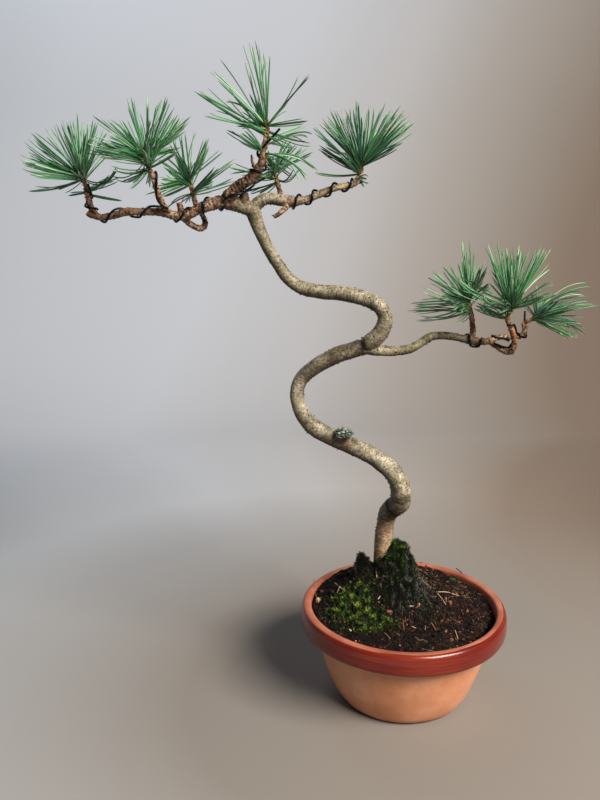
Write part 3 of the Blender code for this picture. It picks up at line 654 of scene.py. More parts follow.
def finishBark():
    # Young pine bark, grown smooth on the trunk and scaly on the twigs: satin, olive-beige, ringed, dotted
    finish, tree, shader = newMaterial("pineBark", roughness=0.5, ior=1.45)
    place, limb = objectPlace(tree), pointMark(tree, "limbPlace", "Vector")
    flaky = pointMark(tree, "flaky")
    # the ground tone in patches of 8 mm, then the stains and the painted shadow
    patches = cloudy(tree, place, 95.0, 4.0, 0.6)
    smooth = ramp(tree, patches, (0.3, "#666255"), (0.43, "#918e7f"), (0.54, "#b2af9f"), (0.64, "#d0cfc4"),
                  (0.78, "#8f7d62"))
    scaly = ramp(tree, patches, (0.32, "#7d6551"), (0.48, "#a98c75"), (0.62, "#c4aa93"), (0.78, "#dac4ae"))
    ground = blend(tree, remap(tree, reckon(tree, "ADD", flaky, patches), 0.75, 1.15), smooth, scaly)
    toned = blend(tree, pointMark(tree, "stainAndShadowShare"), ground, pointMark(tree, "stain", "Color"))
    # painted shade: dark in the hollows between the scales, and brown on the bark's side turned away from
    # the light
    gaps = ramp(tree, pointMark(tree, "ridge"), (0.28, "#35271c"), (0.4, "#a2907f"), (0.52, "#efe6de"),
                (0.64, "#ffffff"))
    beaded = blend(tree, flaky, toned, gaps, "MULTIPLY")
    shaded = blend(tree, pointMark(tree, "shade"), beaded, linear("#66533c"), "MULTIPLY")
    # dark rings every millimetre or so and a mottle, both weaker on scaly bark, and a fine grain
    rings = cloudy(tree, stretched(tree, limb, (1.0, 0.22, 0.22)), 1.5, 3.0, 0.65)
    ringed = ramp(tree, rings, (0.33, "#35281a"), (0.42, "#b9aa90"), (0.48, "#ffffff"))
    bare = remap(tree, flaky, 0.0, 1.0, 0.6, 0.2)
    banded = blend(tree, bare, shaded, ringed, "MULTIPLY")
    mottle = ramp(tree, cloudy(tree, limb, 0.55, 5.0, 0.75), (0.36, "#53442f"), (0.45, "#ada189"),
                  (0.52, "#ded8cb"), (0.6, "#ffffff"))
    mottled = blend(tree, bare, banded, mottle, "MULTIPLY")
    grain = ramp(tree, cloudy(tree, place, 850.0, 3.0, 0.65), (0.34, "#4a3a28"), (0.46, "#d8cdb8"),
                 (0.56, "#ffffff"))
    grained = blend(tree, 0.55, mottled, grain, "MULTIPLY")
    # dark pores 3 mm apart, seams between scales, and painted shade in the deep creases
    pores = addNode(tree, "TexVoronoi", {"Vector": limb, "Scale": 0.34, "Randomness": 1.0})
    poreMask = remap(tree, pores.outputs["Distance"], 0.12, 0.22, 1.0, 0.0)
    dotted = blend(tree, reckon(tree, "MULTIPLY", poreMask, 0.85), grained, linear("#1d170d"))
    edges = addNode(tree, "TexVoronoi", {"Vector": limb, "Scale": 0.5, "Randomness": 1.0},
                    feature="DISTANCE_TO_EDGE")
    seam = reckon(tree, "MULTIPLY", remap(tree, edges.outputs["Distance"], 0.0, 0.14, 0.35, 0.0), flaky)
    seamed = blend(tree, seam, dotted, linear("#140d08"))
    creased = blend(tree, pointMark(tree, "creaseDepthAndShade"), seamed, linear("#150e07"))
    pitted = bump(tree, poreMask, 0.3, 0.0003, bump(tree, rings, 0.6, 0.0007), invert=True)
    connect(tree, shader, creased, pitted)
    return finish


# How the bark's surface shifts at a place, the marks for its finish with its painted shade, and how strong
# the stains and the painted shadow are there
def barkRelief(spot, sample, creaseAt):
    tangent, side = sample["tangent"], sample["side"]
    outward = spot - sample["spot"]
    outward = (outward - tangent * outward.dot(tangent)).normalized()
    a, b = outward.dot(side) * sample["radius"], outward.dot(tangent.cross(side)) * sample["radius"]
    s, flaky = sample["along"] + (spot - sample["spot"]).dot(tangent), sample["flaky"]
    size = min(1.0, sample["radius"] / 4)
    wave = {
        name: noise.noise(Vector((s / along, a / around, b / around)) + Vector(shift))
        for name, (along, around, shift) in waves.items()
    }
    inner = min(1.0, max(0.0, sample["bend"].dot(outward) * 20))
    folds = math.sin(s * 2 * math.pi / bark["foldEvery"] + 3 * wave["lumps"]) * inner
    knob = 0.9 * wave["bead"] + 0.35 - abs(wave["pits"])
    move = bark["relief"] * wave["lumps"] * size + bark["rings"] * wave["fine"]
    move += bark["rough"] * flaky * size * wave["rough"]
    move += bark["fold"] * folds
    move += bark["knobs"] * flaky * max(0.4, size) * knob
    # the crease's depth, which also sets the painted shade in it
    creaseDepthAndShade = 0.0
    for centre, depth, width in creaseAt:
        if abs(centre["flaky"] - flaky) < 0.1 and (centre["spot"] - spot).length < 14:
            wander = noise.noise(Vector((a / 3, b / 3, 5))) * 1.2
            near = math.exp(-((s - centre["along"] + wander) / width) ** 2)
            creaseDepthAndShade = max(creaseDepthAndShade, near * depth)
    # painted shade: the side turned away from the light direction lit gets darker, half as much on scaly
    # bark
    shade = max(0.0, min(1.0, 0.42 - outward.dot(bark["lit"]) + 0.3 * wave["lumps"])) * (1 - 0.5 * flaky)
    marks = dict(
        limbPlace=(s, a, b), ridge=0.5 + 0.5 * knob, shade=shade, flaky=flaky, creaseDepthAndShade=min(1.0, creaseDepthAndShade * 0.8),
    )
    return outward * (move - creaseDepthAndShade), marks, 1 + 0.9 * wave["lumps"] + 0.5 * wave["rough"]


# The tone and share of the stains and the painted shadow at a place, each fading out with distance
def toneOfStainsAndShadow(spot, stainsAndShadowAt, patchy):
    tone, total, most = numpy.zeros(3), 1e-6, 0.0
    for centre, reach, color, share in stainsAndShadowAt:
        far = (centre - spot).length / reach
        if far < 2:
            weight = share * math.exp(-far**2) * patchy
            tone, total, most = tone + weight * color, total + weight, max(most, weight)
    return dict(stain=tone / total, stainAndShadowShare=min(1.0, most))


def makeWood(samples, tree, finish):
    points, faces = [], []
    for limb in wood.values():
        addTube(points, faces, smoothRoute(limb["route"], bark["step"]), bark["sides"])
    piece = makePiece("barkedWood", points, faces, [finish], "bark", stands="trunk")
    remesh = piece.modifiers.new("remesh", "REMESH")
    remesh.mode = "VOXEL"
    remesh.voxel_size = bark["voxel"] * mm
    remesh.use_smooth_shade = True
    soften = piece.modifiers.new("soften", "SMOOTH")
    soften.factor = 0.5
    soften.iterations = 5
    applyModifiers(piece)
    mesh = piece.data
    mesh.materials.clear()
    mesh.materials.append(finish)
    creaseAt = [(nearestSample(Vector(spot), samples, tree), depth, width) for spot, depth, width in creases]
    stainsAndShadowAt = [
        (Vector(spot), reach, numpy.array(linear(tone)[:3]), share) for spot, reach, tone, share in stainsAndShadow
    ]
    rows = []
    for vertex in mesh.vertices:
        spot = vertex.co / mm
        relief, marks, patchy = barkRelief(spot, nearestSample(spot, samples, tree), creaseAt)
        vertex.co += relief * mm
        rows.append({**marks, **toneOfStainsAndShadow(spot, stainsAndShadowAt, patchy)})
    for name in rows[0]:
        addMark(mesh, name, [row[name] for row in rows])
    return len(mesh.vertices)


# Old bud scales and bark chips that stand off the twigs, and the small pegs of fallen leaves on smooth bark
flakes = dict(
    perArea=0.09, length=(0.7, 1.7), width=(0.6, 1.3), lift=(4, 26), thick=0.12, sunk=0.15, seed=5,
    outline=[(-0.5, 0), (0.5, 0), (0.42, 0.55), (0.0, 1.0), (-0.42, 0.55)],
)
pegs = dict(perArea=0.022, radius=(0.28, 0.6), height=(0.25, 0.75), sunk=0.2, sides=6)


def finishFlakes():
    # Dry bark and bud scales, shed in layers: papery, foxed from straw to umber
    return tonedMaterial("barkScales", 0.75, 1.45, (0.0, "#1c130d"), (0.4, "#47311f"), (0.75, "#745740"),
                         (1.0, "#a3886a"))


# A direction away from a limb's centre line, at a random angle round it
def drawnOutward(draw, tangent, side):
    turn = draw.uniform(0, 2 * math.pi)
    return math.cos(turn) * side + math.sin(turn) * tangent.cross(side)


def makeFlakes(finish):
    draw = random.Random(flakes["seed"])
    points, faces, tones = [], [], []
    step = bark["sample"]
    for limb in wood.values():
        spine = smoothRoute(limb["route"], step)
        tangents, across = carriedFrames([spot for spot, _ in spine])
        for i in range(4, len(spine) - 1):
            spot, radius = spine[i]
            area, flaky = 2 * math.pi * radius * step, flakyAt(limb, i * step)
            for _ in range(int(area * flakes["perArea"] * flaky + draw.random())):
                outward = drawnOutward(draw, tangents[i], across[i])
                lift = math.radians(draw.uniform(*flakes["lift"]))
                length, width = draw.uniform(*flakes["length"]), draw.uniform(*flakes["width"])
                ahead = tangents[i] * math.cos(lift) + outward * math.sin(lift)
                ahead.rotate(Quaternion(outward, draw.uniform(-0.5, 0.5)))
                side = ahead.cross(outward).normalized()
                thick = ahead.cross(side).normalized() * flakes["thick"]
                root = spot + outward * (radius - flakes["sunk"])
                corners = [root + side * x * width + ahead * y * length for x, y in flakes["outline"]]
                addPlate(points, faces, [p + thick for p in corners], [p - thick for p in corners])
                tones += [draw.random()] * 2 * len(corners)
            for _ in range(int(area * pegs["perArea"] * (1 - flaky) + draw.random())):
                outward = drawnOutward(draw, tangents[i], across[i])
                wide, high = draw.uniform(*pegs["radius"]), draw.uniform(*pegs["height"])
                root, sunk = spot + outward * (radius - pegs["sunk"]), pegs["sunk"]
                peg = [(root, wide), (root + outward * (high * 0.6 + sunk), wide * 0.8),
                       (root + outward * (high + sunk), wide * 0.25)]
                addTube(points, faces, peg, pegs["sides"])
                tones += [draw.uniform(0.0, 0.5)] * len(peg) * pegs["sides"]
    makePiece("barkScales", points, faces, [finish], "bark", {"tone": tones}, smooth=False)
    return len(faces)


# Wires: anodised aluminium, wound round the limbs

wire = dict(radius=0.75, sides=12, stepAngle=9, clearance=0.1, loose=0.25, freeSteps=8, soften=3)
# for each node: its limb, a list of (mm along the limb, angle round it in degrees), and any free end's point
wires = {
    "wire_left_limb": dict(limb="left_limb", turns=[
        (23, -25), (25.5, -95), (29.5, -180), (33, -270), (36, -360), (39, -450), (47, -620), (51, -715),
        (55.5, -780), (60, -900), (66, -970), (73.5, -1000), (77.5, -1080), (82, -1170), (88, -1200),
        (95, -1340), (102.5, -1440), (106.5, -1530), (111, -1600),
    ]),
    "wire_far_left": dict(limb="far_left_twig", turns=[
        (4, 110), (7.5, 0), (10, -90), (13.5, -200), (15.5, -290),
    ], freeEnd=(-214.4, 0, 368.7)),
    "wire_left_front": dict(limb="left_front_twig", turns=[
        (7, 25), (11, -15), (16, -35), (21, 5), (27, 40), (31, 110),
    ]),
    "wire_top": dict(limb="top_riser", turns=[
        (7, 0), (10, 8), (13, 20), (15, 45), (17.5, 75), (21, 90), (26, 100), (28.5, 180), (31, 270),
        (34, 360), (37, 450), (41, 540), (45, 630), (48.5, 710),
    ], freeEnd=(-88.4, -22, 400.6)),
    "wire_right_limb": dict(limb="right_limb", turns=[
        (30.2, 115), (33.5, 0), (35.5, -90), (38, -230), (41.5, -285), (44.5, -360), (46.5, -450),
        (51, -590), (55.5, -645), (58, -720), (60, -810), (65.5, -990), (70, -1080), (72.5, -1170),
        (74.5, -1260), (76.5, -1390),
    ]),
    "wire_lower_limb": dict(limb="lower_limb", turns=[
        (73.5, -190), (76.5, -60), (79, 60), (81, 90), (83.5, 90), (86, 10), (87, -50),
    ]),
    "wire_low_front": dict(limb="low_front_twig", turns=[
        (5, -10), (12, -40), (20, -120), (30, -230), (37, -270), (40, -395),
    ]),
    "wire_low_right": dict(limb="low_right_twig", turns=[
        (8, -80), (13, -10), (21, 50), (24.5, 180), (27.5, 280), (30, 350), (33, 430), (36, 530),
    ], freeEnd=(81.5, 18, 283.7)),
}


def finishWire():
    # Anodised aluminium, drawn and dyed black: satin metal with scuffs, a cool grey glint along each turn
    finish, tree, shader = newMaterial("anodisedAluminium", roughness=0.36, metallic=0.85)
    scuffs = cloudy(tree, objectPlace(tree), 700.0, 3.0)
    connect(tree, shader, ramp(tree, scuffs, (0.4, "#16191d"), (0.62, "#23282e"), (0.78, "#4a525a")))
    return finish


# The course of a wire round a limb, as (position, radius), with its corners softened
def wireRoute(course):
    spine = smoothRoute(wood[course["limb"]]["route"], 1.0)
    points = [spot for spot, _ in spine]
    tangents, _ = carriedFrames(points)
    along = [0.0]
    for old, new in zip(points, points[1:]):
        along.append(along[-1] + (new - old).length)
    entries, route = course["turns"], []
    for (start, first), (end, last) in zip(entries, entries[1:]):
        steps = max(1, round(abs(last - first) / wire["stepAngle"]), round(end - start))
        for i in range(steps + 1 if end == entries[-1][0] else steps):
            place = min(start + (end - start) * i / steps, along[-1] - 0.01)
            turn = math.radians(first + (last - first) * i / steps)
            k = max(n for n in range(len(along) - 1) if along[n] <= place)
            part = (place - along[k]) / (along[k + 1] - along[k])
            tangent = tangents[k].lerp(tangents[k + 1], part).normalized()
            front = (viewer - tangent * viewer.dot(tangent)).normalized()
            outward = math.cos(turn) * front + math.sin(turn) * tangent.cross(front)
            loose = wire["loose"] * (1 + noise.noise(Vector((place / 4, turn / 3, 0))))
            limbRadius = spine[k][1] + (spine[k + 1][1] - spine[k][1]) * part
            reach = limbRadius + wire["radius"] + wire["clearance"] + loose
            route.append(points[k].lerp(points[k + 1], part) + reach * outward)
    if "freeEnd" in course:
        end, steps = Vector(course["freeEnd"]), wire["freeSteps"]
        route += [route[-1].lerp(end, i / steps) for i in range(1, steps + 1)]
    for _ in range(wire["soften"]):
        route[1:-1] = [(old + spot + new) / 3 for old, spot, new in zip(route, route[1:], route[2:])]
    return [(spot, wire["radius"]) for spot in route]


def makeWires(finish):
    for node, course in wires.items():
        points, faces = [], []
        addTube(points, faces, wireRoute(course), wire["sides"])
        piece = makePiece(pieceName(node), points, faces, [finish], "wire", stands=node)
        piece.data.set_sharp_from_angle(angle=math.radians(50))


# Needles: bundles of two to five, set round each shoot

needle = dict(
    width=1.1, widths=(0.85, 1.08), bundle=(3, 5), seenBundle=(2, 3, 3), openAngle=(2, 7), bow=(0.0, 0.05),
    rings=11, footGap=0.35, seed=3, shoot=1.25,
    section=[(-0.5, 0.10), (-0.27, -0.28), (0.27, -0.28), (0.5, 0.10), (0.0, 0.34)],
    taper=([0, 0.08, 0.85, 0.955, 1.0], [0.7, 1.0, 0.97, 0.75, 0.12]),
)
# for each node: its twig, its shoot's tip, how many bundles fill its inside, and the outer tips that the
# photograph shows, each as a pixel, with a second pixel that a curved needle passes through
sprays = {
    "needles_far_left": dict(
        twig="far_left_twig", tip=(-220, 5, 374), zone=20, fill=18, lengths=(33, 44), tone=0.6,
        seen=[(20, 155), (22, 162), (22, 169), (24, 142), (28, 139), (31, 133), (28, 152), (56, 123),
              (62, 119), (67, 124), (70, 119), (76, 125), (77, 113), (84, 129), (86, 133), (90, 119),
              (93, 120), (98, 122), (104, 129), (108, 132), (29, 191, 58, 188), (58, 190), (68, 196),
              (122, 201), (118, 168, 102, 184), (115, 172, 100, 186), (45, 128), (36, 146)],
    ),
    "needles_left_front": dict(
        twig="left_front_twig", tip=(-173, -17, 385), zone=18, fill=23, lengths=(34, 46), tone=0.72,
        seen=[(93, 116, 122, 138), (107, 120), (115, 119), (122, 120), (127, 98), (131, 97), (137, 110),
              (140, 120), (147, 94), (159, 101), (166, 96), (168, 98), (172, 100), (175, 107), (178, 114),
              (180, 117), (184, 118), (191, 116), (190, 121), (186, 126), (180, 131), (85, 143), (88, 149),
              (90, 150), (92, 154), (95, 140), (98, 137), (110, 169, 130, 172), (112, 176, 131, 177),
              (121, 182, 135, 178), (129, 189), (180, 150)],
    ),
    "needles_left_back": dict(
        twig="left_back_twig", tip=(-152, 28, 373), zone=18, fill=16, lengths=(32, 42), tone=0.9,
        seen=[(185, 133), (194, 131, 190, 156), (207, 139), (209, 138), (209, 146), (223, 152), (235, 159),
              (233, 178), (235, 181), (179, 135, 182, 157), (165, 163), (163, 166), (158, 160), (160, 183),
              (150, 187), (145, 195), (160, 197), (167, 208, 177, 201), (174, 155), (166, 157, 178, 168)],
    ),
    "needles_top": dict(
        twig="top_riser", tip=(-97, -15, 403), zone=24, fill=6, lengths=(36, 56), tone=0.55,
        seen=[(249, 42), (255, 40), (270, 56, 265, 88), (245, 62), (220, 59), (210, 72), (232, 94),
              (226, 102, 243, 107), (194, 91), (199, 91), (204, 116), (207, 116), (226, 132), (240, 119),
              (240, 104), (236, 126), (250, 96), (258, 97), (310, 73), (284, 105), (308, 121), (307, 126),
              (308, 138, 292, 136), (311, 146, 293, 141), (306, 180, 289, 161), (318, 171, 293, 157),
              (292, 148), (286, 152)],
    ),
    "needles_middle_back": dict(
        twig="middle_back_twig", tip=(-94, 20, 379), zone=14, fill=11, lengths=(28, 38), tone=0.8,
        seen=[(265, 157), (268, 150), (275, 152), (280, 150), (289, 138), (292, 140), (297, 143), (303, 146),
              (308, 148), (313, 152), (299, 168, 288, 181), (228, 167), (230, 174), (240, 180), (245, 182),
              (250, 187), (250, 193), (255, 178), (240, 192), (265, 175), (283, 142)],
    ),
    "needles_right": dict(
        twig="right_limb", tip=(-36.5, -6, 380), zone=12, fill=17, lengths=(36, 46), tone=0.55,
        seen=[(313, 128), (315, 127), (319, 124), (322, 118), (324, 121), (330, 119), (330, 109), (336, 111),
              (341, 109), (345, 109), (350, 107), (356, 100), (358, 102), (361, 115), (364, 120), (369, 106),
              (374, 107), (386, 102), (389, 110), (391, 110), (401, 105), (405, 110), (408, 112), (410, 115),
              (411, 120), (413, 124), (416, 122), (404, 142), (318, 149), (326, 151), (315, 172, 336, 175),
              (364, 186), (345, 157, 352, 166)],
    ),
    "needles_low_left": dict(
        twig="low_left_twig", tip=(40.5, 14, 293), zone=16, fill=14, lengths=(33, 43), tone=0.8,
        seen=[(432, 271), (427, 278), (444, 267), (450, 267), (458, 263), (462, 240), (469, 240), (474, 253),
              (480, 262), (485, 261), (488, 266), (490, 283), (492, 287), (420, 291), (440, 296), (410, 304),
              (412, 303), (407, 311, 438, 310), (428, 308), (416, 321, 444, 315), (417, 320, 445, 318)],
    ),
    "needles_low_front": dict(
        twig="low_front_twig", tip=(62, -19, 290.5), zone=18, fill=24, lengths=(37, 48), tone=0.7,
        seen=[(487, 242), (488, 252), (497, 240), (502, 250), (506, 246), (509, 250), (519, 245), (524, 247),
              (530, 243), (536, 250), (541, 245), (545, 248), (551, 249), (550, 263), (553, 281),
              (457, 277, 482, 296), (450, 290, 479, 300), (480, 303, 492, 313), (473, 308, 489, 316),
              (480, 296, 492, 306), (490, 303), (515, 255), (500, 262), (493, 266)],
    ),
    "needles_low_right": dict(
        twig="low_right_twig", tip=(89, 13, 280), zone=20, fill=10, lengths=(34, 45), tone=0.5,
        seen=[(583, 291, 556, 298), (592, 287, 562, 294), (573, 297), (595, 297, 564, 304),
              (600, 305, 566, 309), (575, 322, 556, 315), (572, 328), (574, 338, 554, 323),
              (587, 335, 561, 322), (585, 318, 560, 316), (537, 285), (531, 290), (550, 303), (560, 300),
              (566, 309)],
    ),
}
# the needles' outer and inner faces: dark and light tones at foot, middle and tip, and the roughness
needleFaces = {
    "needleOuter": (("#6f7c35", "#8f9c4a"), ("#113c2e", "#408650"), ("#224b2e", "#6b7f44"), 0.36),
    "needleInner": (("#7a884a", "#a0ab66"), ("#548276", "#97bd9c"), ("#4c735f", "#93a978"), 0.42),
}


def finishNeedle(name, foot, middle, tip, roughness):
    # Pine needle, grown under a thin wax: satin green, yellower at the foot, each one of its own tone
    finish, tree, shader = newMaterial(name, roughness=roughness, ior=1.45)
    along = pointMark(tree, "along")
    dark, light = (
        ramp(tree, along, (0.0, foot[k]), (0.16, middle[k]), (0.9, middle[k]), (1.0, tip[k])) for k in (0, 1)
    )
    connect(tree, shader, blend(tree, pointMark(tree, "tone"), dark, light))
    shader.inputs["Subsurface Weight"].default_value = 0.12
    shader.inputs["Subsurface Radius"].default_value = (0.4, 1.0, 0.2)
    shader.inputs["Subsurface Scale"].default_value = 0.0006
    return finish


def makeNeedles(node, blades, finishes):
    parts = ("base", "tip", "bow", "inward")
    base, tip, bow, inward = (numpy.array([blade[part] for blade in blades]) for part in parts)
    width = numpy.array([blade["width"] for blade in blades])
    t = numpy.linspace(0, 1, needle["rings"]) ** 0.9
    line = base[:, None] + (tip - base)[:, None] * t[None, :, None]
    line += bow[:, None] * (4 * t * (1 - t))[None, :, None]
    ahead = numpy.gradient(line, axis=1)
    ahead /= numpy.linalg.norm(ahead, axis=2, keepdims=True)
    side = numpy.cross(ahead, inward[:, None])
    side /= numpy.linalg.norm(side, axis=2, keepdims=True)
    up = numpy.cross(side, ahead)
    taper = numpy.interp(t, *needle["taper"])
    section = numpy.array(needle["section"])
    spots = side[:, :, None] * section[None, None, :, 0:1] + up[:, :, None] * section[None, None, :, 1:2]
    points = line[:, :, None] + spots * (width[:, None] * taper[None])[:, :, None, None]
    rings, sides = len(t), len(section)
    faces, finishOf = [], []
    for i in range(len(blades)):
        first = i * rings * sides
        for low in range(first, first + (rings - 1) * sides, sides):
            for k in range(sides):
                n = (k + 1) % sides
                faces.append((low + k, low + n, low + sides + n, low + sides + k))
                # the last two sides of the section face the bundle's middle
                finishOf.append(1 if k >= sides - 2 else 0)
        faces.append([first + k for k in reversed(range(sides))])
        faces.append([first + (rings - 1) * sides + k for k in range(sides)])
        finishOf += [0, 0]
    marks = {
        "along": numpy.broadcast_to(t[None, :, None], points.shape[:3]).ravel(),
        "tone": numpy.repeat([blade["tone"] for blade in blades], rings * sides),
    }
    makePiece(pieceName(node), points.reshape(-1, 3), faces, finishes, "needles", marks, finishOf,
              stands=node)


# The last part of a spray's wood and its shoot, as (position, radius), up to the bud
def shootRoute(spray):
    spine = smoothRoute(wood[spray["twig"]]["route"], 1.0)
    leaving = (spine[-1][0] - spine[-2][0]).normalized()
    end, radius = spine[-1][0], needle["shoot"]
    route = [(*end, radius * 1.1), (*(end + leaving * 3), radius), (*spray["tip"], radius * 0.8)]
    return spine, smoothRoute(route, 1.0)


# A bundle of needles from one foot: the first ends at the aimed tip, the others open round it
def addBundle(blades, foot, tip, bow, tone, draw, count):
    reach = tip - foot
    length, ahead = reach.length, reach.normalized()
    start = draw.uniform(0, 2 * math.pi)
    side = ahead.orthogonal().normalized()
    tone += draw.uniform(-0.35, 0.35)
    for i in range(count):
        turn = start + 2 * math.pi * i / count + draw.uniform(-0.5, 0.5)
        outward = Quaternion(ahead, turn) @ side
        opening = math.radians(draw.uniform(*needle["openAngle"])) if i else 0.0
        direction = ahead * math.cos(opening) + outward * math.sin(opening)
        own = length * (draw.uniform(0.84, 1.0) if i else 1.0)
        bend = bow + outward * own * draw.uniform(*needle["bow"]) * draw.choice((-1, 1, 1))
        width = needle["width"] * draw.uniform(*needle["widths"])
        blades.append(dict(
            base=foot + outward * needle["footGap"], tip=foot + direction * own, bow=bend, inward=-outward,
            width=width, tone=min(1, max(0, tone + draw.uniform(-0.3, 0.3))),
        ))


# How far a needle of some length reaches towards the viewer when the picture shows only the gap
def hiddenDepth(length, gap):
    return math.sqrt(max(0, length**2 - gap**2))


# All the needles of a spray, on the part of its wood that lies within its zone from the bud
def sprayBlades(spray, draw):
    spine, shoot = shootRoute(spray)
    path = [spot for spot, _ in spine[:-1] + shoot][::-1]
    lengths = [0.0]
    for old, new in zip(path, path[1:]):
        lengths.append(lengths[-1] + (new - old).length)
    carrying = [spot for spot, far in zip(path, lengths) if far <= spray["zone"]]
    axis = (carrying[0] - carrying[-1]).normalized()
    middle = carrying[len(carrying) // 2]
    blades, feet = [], []
    for u, v, *via in spray["seen"]:
        lean = (atPixel(u, v, carrying[0].y) - middle).normalized().dot(axis)
        place = (1 - lean) / 2 * 0.9 + draw.uniform(-0.28, 0.28)
        foot = carrying[round(max(0, min(1, place)) * (len(carrying) - 1))]
        flat = atPixel(u, v, foot.y)
        feet.append((foot, flat))
        depth = hiddenDepth(draw.uniform(*spray["lengths"]), (flat - foot).length)
        depth = depth * draw.uniform(0.4, 0.9) * draw.choice((-1, 1))
        tip = atPixel(u, v, foot.y + depth)
        bow = atPixel(*via, foot.y + depth / 2) - (foot + tip) / 2 if via else Vector()
        addBundle(blades, foot, tip, bow, spray["tone"], draw, draw.choice(needle["seenBundle"]))
    # the needles that point to the viewer or away: near a seen one in the picture, but foreshortened
    for i in range(spray["fill"]):
        foot, flat = draw.choice(feet)
        reach = (flat - foot) * draw.uniform(0.35, 0.85)
        reach.rotate(Quaternion(viewer, math.radians(draw.uniform(-7, 7))))
        depth = hiddenDepth(draw.uniform(*spray["lengths"]), reach.length) * (1 if i % 2 else -1)
        tip = foot + reach - viewer * depth
        addBundle(blades, foot, tip, Vector(), spray["tone"], draw, draw.randint(*needle["bundle"]))
    return blades


def makeSprays():
    draw = random.Random(needle["seed"])
    finishes = [finishNeedle(name, *tones) for name, tones in needleFaces.items()]
    count = 0
    for node, spray in sprays.items():
        blades = sprayBlades(spray, draw)
        makeNeedles(node, blades, finishes)
        count += len(blades)
    return count


# Shoots: the needles' stalk, wrapped in brown scales, with a pointed bud on top

bud = dict(
    length=6.0, radius=1.5, sides=10, scales=26, scalesPerRing=4, turn=137.5, seed=8,
    profile=[(0.12, 0.8), (0.3, 1.0), (0.5, 0.98), (0.72, 0.72), (0.9, 0.34), (1.0, 0.06)],
)
budScale = dict(length=2.4, width=1.3, front=0.14, back=-0.04, sunk=0.1, lift=(0.1, 0.5))


def finishShoot():
    # Young shoot under papery scales: warm tan, darker in the gaps
    finish, tree, shader = newMaterial("shootBark", roughness=0.7, ior=1.45)
    patches = cloudy(tree, objectPlace(tree), 520.0, 3.0)
    connect(tree, shader, ramp(tree, patches, (0.32, "#5a3a20"), (0.5, "#8a6038"), (0.7, "#b98d5c")))
    return finish


def makeShoots(shootFinish, scaleFinish):
    draw = random.Random(bud["seed"])
    for node, spray in sprays.items():
        _, shoot = shootRoute(spray)
        top = shoot[-1][0]
        ahead = (top - shoot[-3][0]).normalized()
        budRings = [(top + ahead * bud["length"] * t, bud["radius"] * r) for t, r in bud["profile"]]
        points, faces = [], []
        addTube(points, faces, shoot + budRings, bud["sides"])
        finishOf = [0] * len(faces)
        tones = [0.6] * len(points)
        turn = 0.0
        places = [shoot[round(k)] for k in numpy.linspace(0, len(shoot) - 1, bud["scales"])]
        places += [place for place in budRings[:-2] for _ in range(bud["scalesPerRing"])]
        for spot, radius in places:
            turn += math.radians(bud["turn"])
            side = Quaternion(ahead, turn) @ ahead.orthogonal().normalized()
            across = ahead.cross(side)
            root = spot + side * (radius - budScale["sunk"])
            lift = draw.uniform(*budScale["lift"])
            long = budScale["length"] * draw.uniform(0.7, 1.2)
            wide = budScale["width"] * draw.uniform(0.8, 1.1)
            outline = [(-0.5, 0, 0), (0.5, 0, 0), (0.4, 0.5, 0.1), (0, 1, lift), (-0.4, 0.5, 0.1)]
            front, back = (
                [root + across * x * wide + ahead * y * long + side * (out * long + level)
                 for x, y, out in outline]
                for level in (budScale["front"], budScale["back"])
            )
            addPlate(points, faces, front, back)
            finishOf += [1] * (len(outline) + 2)
            tones += [draw.uniform(0.35, 1.0)] * 2 * len(outline)
        name = pieceName(node.replace("needles", "shoot"))
        makePiece(name, points, faces, [shootFinish, scaleFinish], "bark", {"tone": tones}, finishOf)


# Soil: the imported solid's surface, roughened, with crumbs, fibres, straw and moss on it

soil = dict(
    edge=63.0, backRise=4.5, cornerRise=2.5, dome=10.0, radius=66.7, rings=96, sides=300, lumps=1.1,
    clods=1.4, heap=2.3, stem=(-14, 12),
)
# the soil ring that fits the pot below the surface, from its underside up, as (inset from its edge, height)
soilUnder = [(8, 48.0), (7.2, 52.0), (4, 55.8), (0.6, 57.6)]
# mounds as x, y, height and spread
mounds = [
    (-3, 11, 23, 7.2), (4, 1, 16, 12.5), (7.5, 6, 6, 4), (-13, 0, 8, 6), (-26, 9, 19, 18),
    (-29.5, 11, 11, 3.6), (-33, 10, 5, 3), (36, 6, 6, 10),
]


def soilHeight(x, y):
    far = math.hypot(x, y) / pot["inner"]
    height = soil["edge"] + soil["backRise"] * y / pot["inner"] + soil["dome"] * (1 - far**2)
    height += soil["cornerRise"] * max(0.0, (y * 0.8 - x * 0.6) / pot["inner"]) ** 2
    for moundX, moundY, rise, reach in mounds:
        height += rise * math.exp(-((x - moundX) ** 2 + (y - moundY) ** 2) / (2 * reach**2))
    return height


def roughSoil(x, y):
    height = soilHeight(x, y)
    lumps = noise.fractal(Vector((x / 9, y / 9, height / 9)), 1.0, 2.2, 5)
    clods = noise.noise(Vector((x / 4, y / 4, height / 4)) + Vector((5, 2, 9)))
    mound = min(1.0, max(0.0, height - soil["edge"] - 1) / 8)
    # loose soil lies against the pot's back wall
    far = math.hypot(x, y) / soil["radius"]
    heaped = soil["heap"] * max(0.0, y / soil["radius"]) * min(1.0, max(0.0, far - 0.7) / 0.3)
    return height + soil["lumps"] * lumps + soil["clods"] * mound * clods + heaped


# The way the mounded soil slopes at a place, down per mm
def soilSlope(x, y):
    downX = (soilHeight(x - 1, y) - soilHeight(x + 1, y)) / 2
    downY = (soilHeight(x, y - 1) - soilHeight(x, y + 1)) / 2
    return downX, downY


# How far a place is from the middle of the stem's foot
def fromStem(x, y):
    return math.hypot(x - soil["stem"][0], y - soil["stem"][1])


# Where the line of sight through a pixel meets the soil
def soilAtPixel(u, v):
    eye, direction = sightLine(u, v)
    direction.normalize()
    spot = eye + direction * 430
    while spot.z > roughSoil(spot.x, spot.y) and spot.z > soil["edge"] - 10:
        spot = spot + direction * 0.5
    return spot


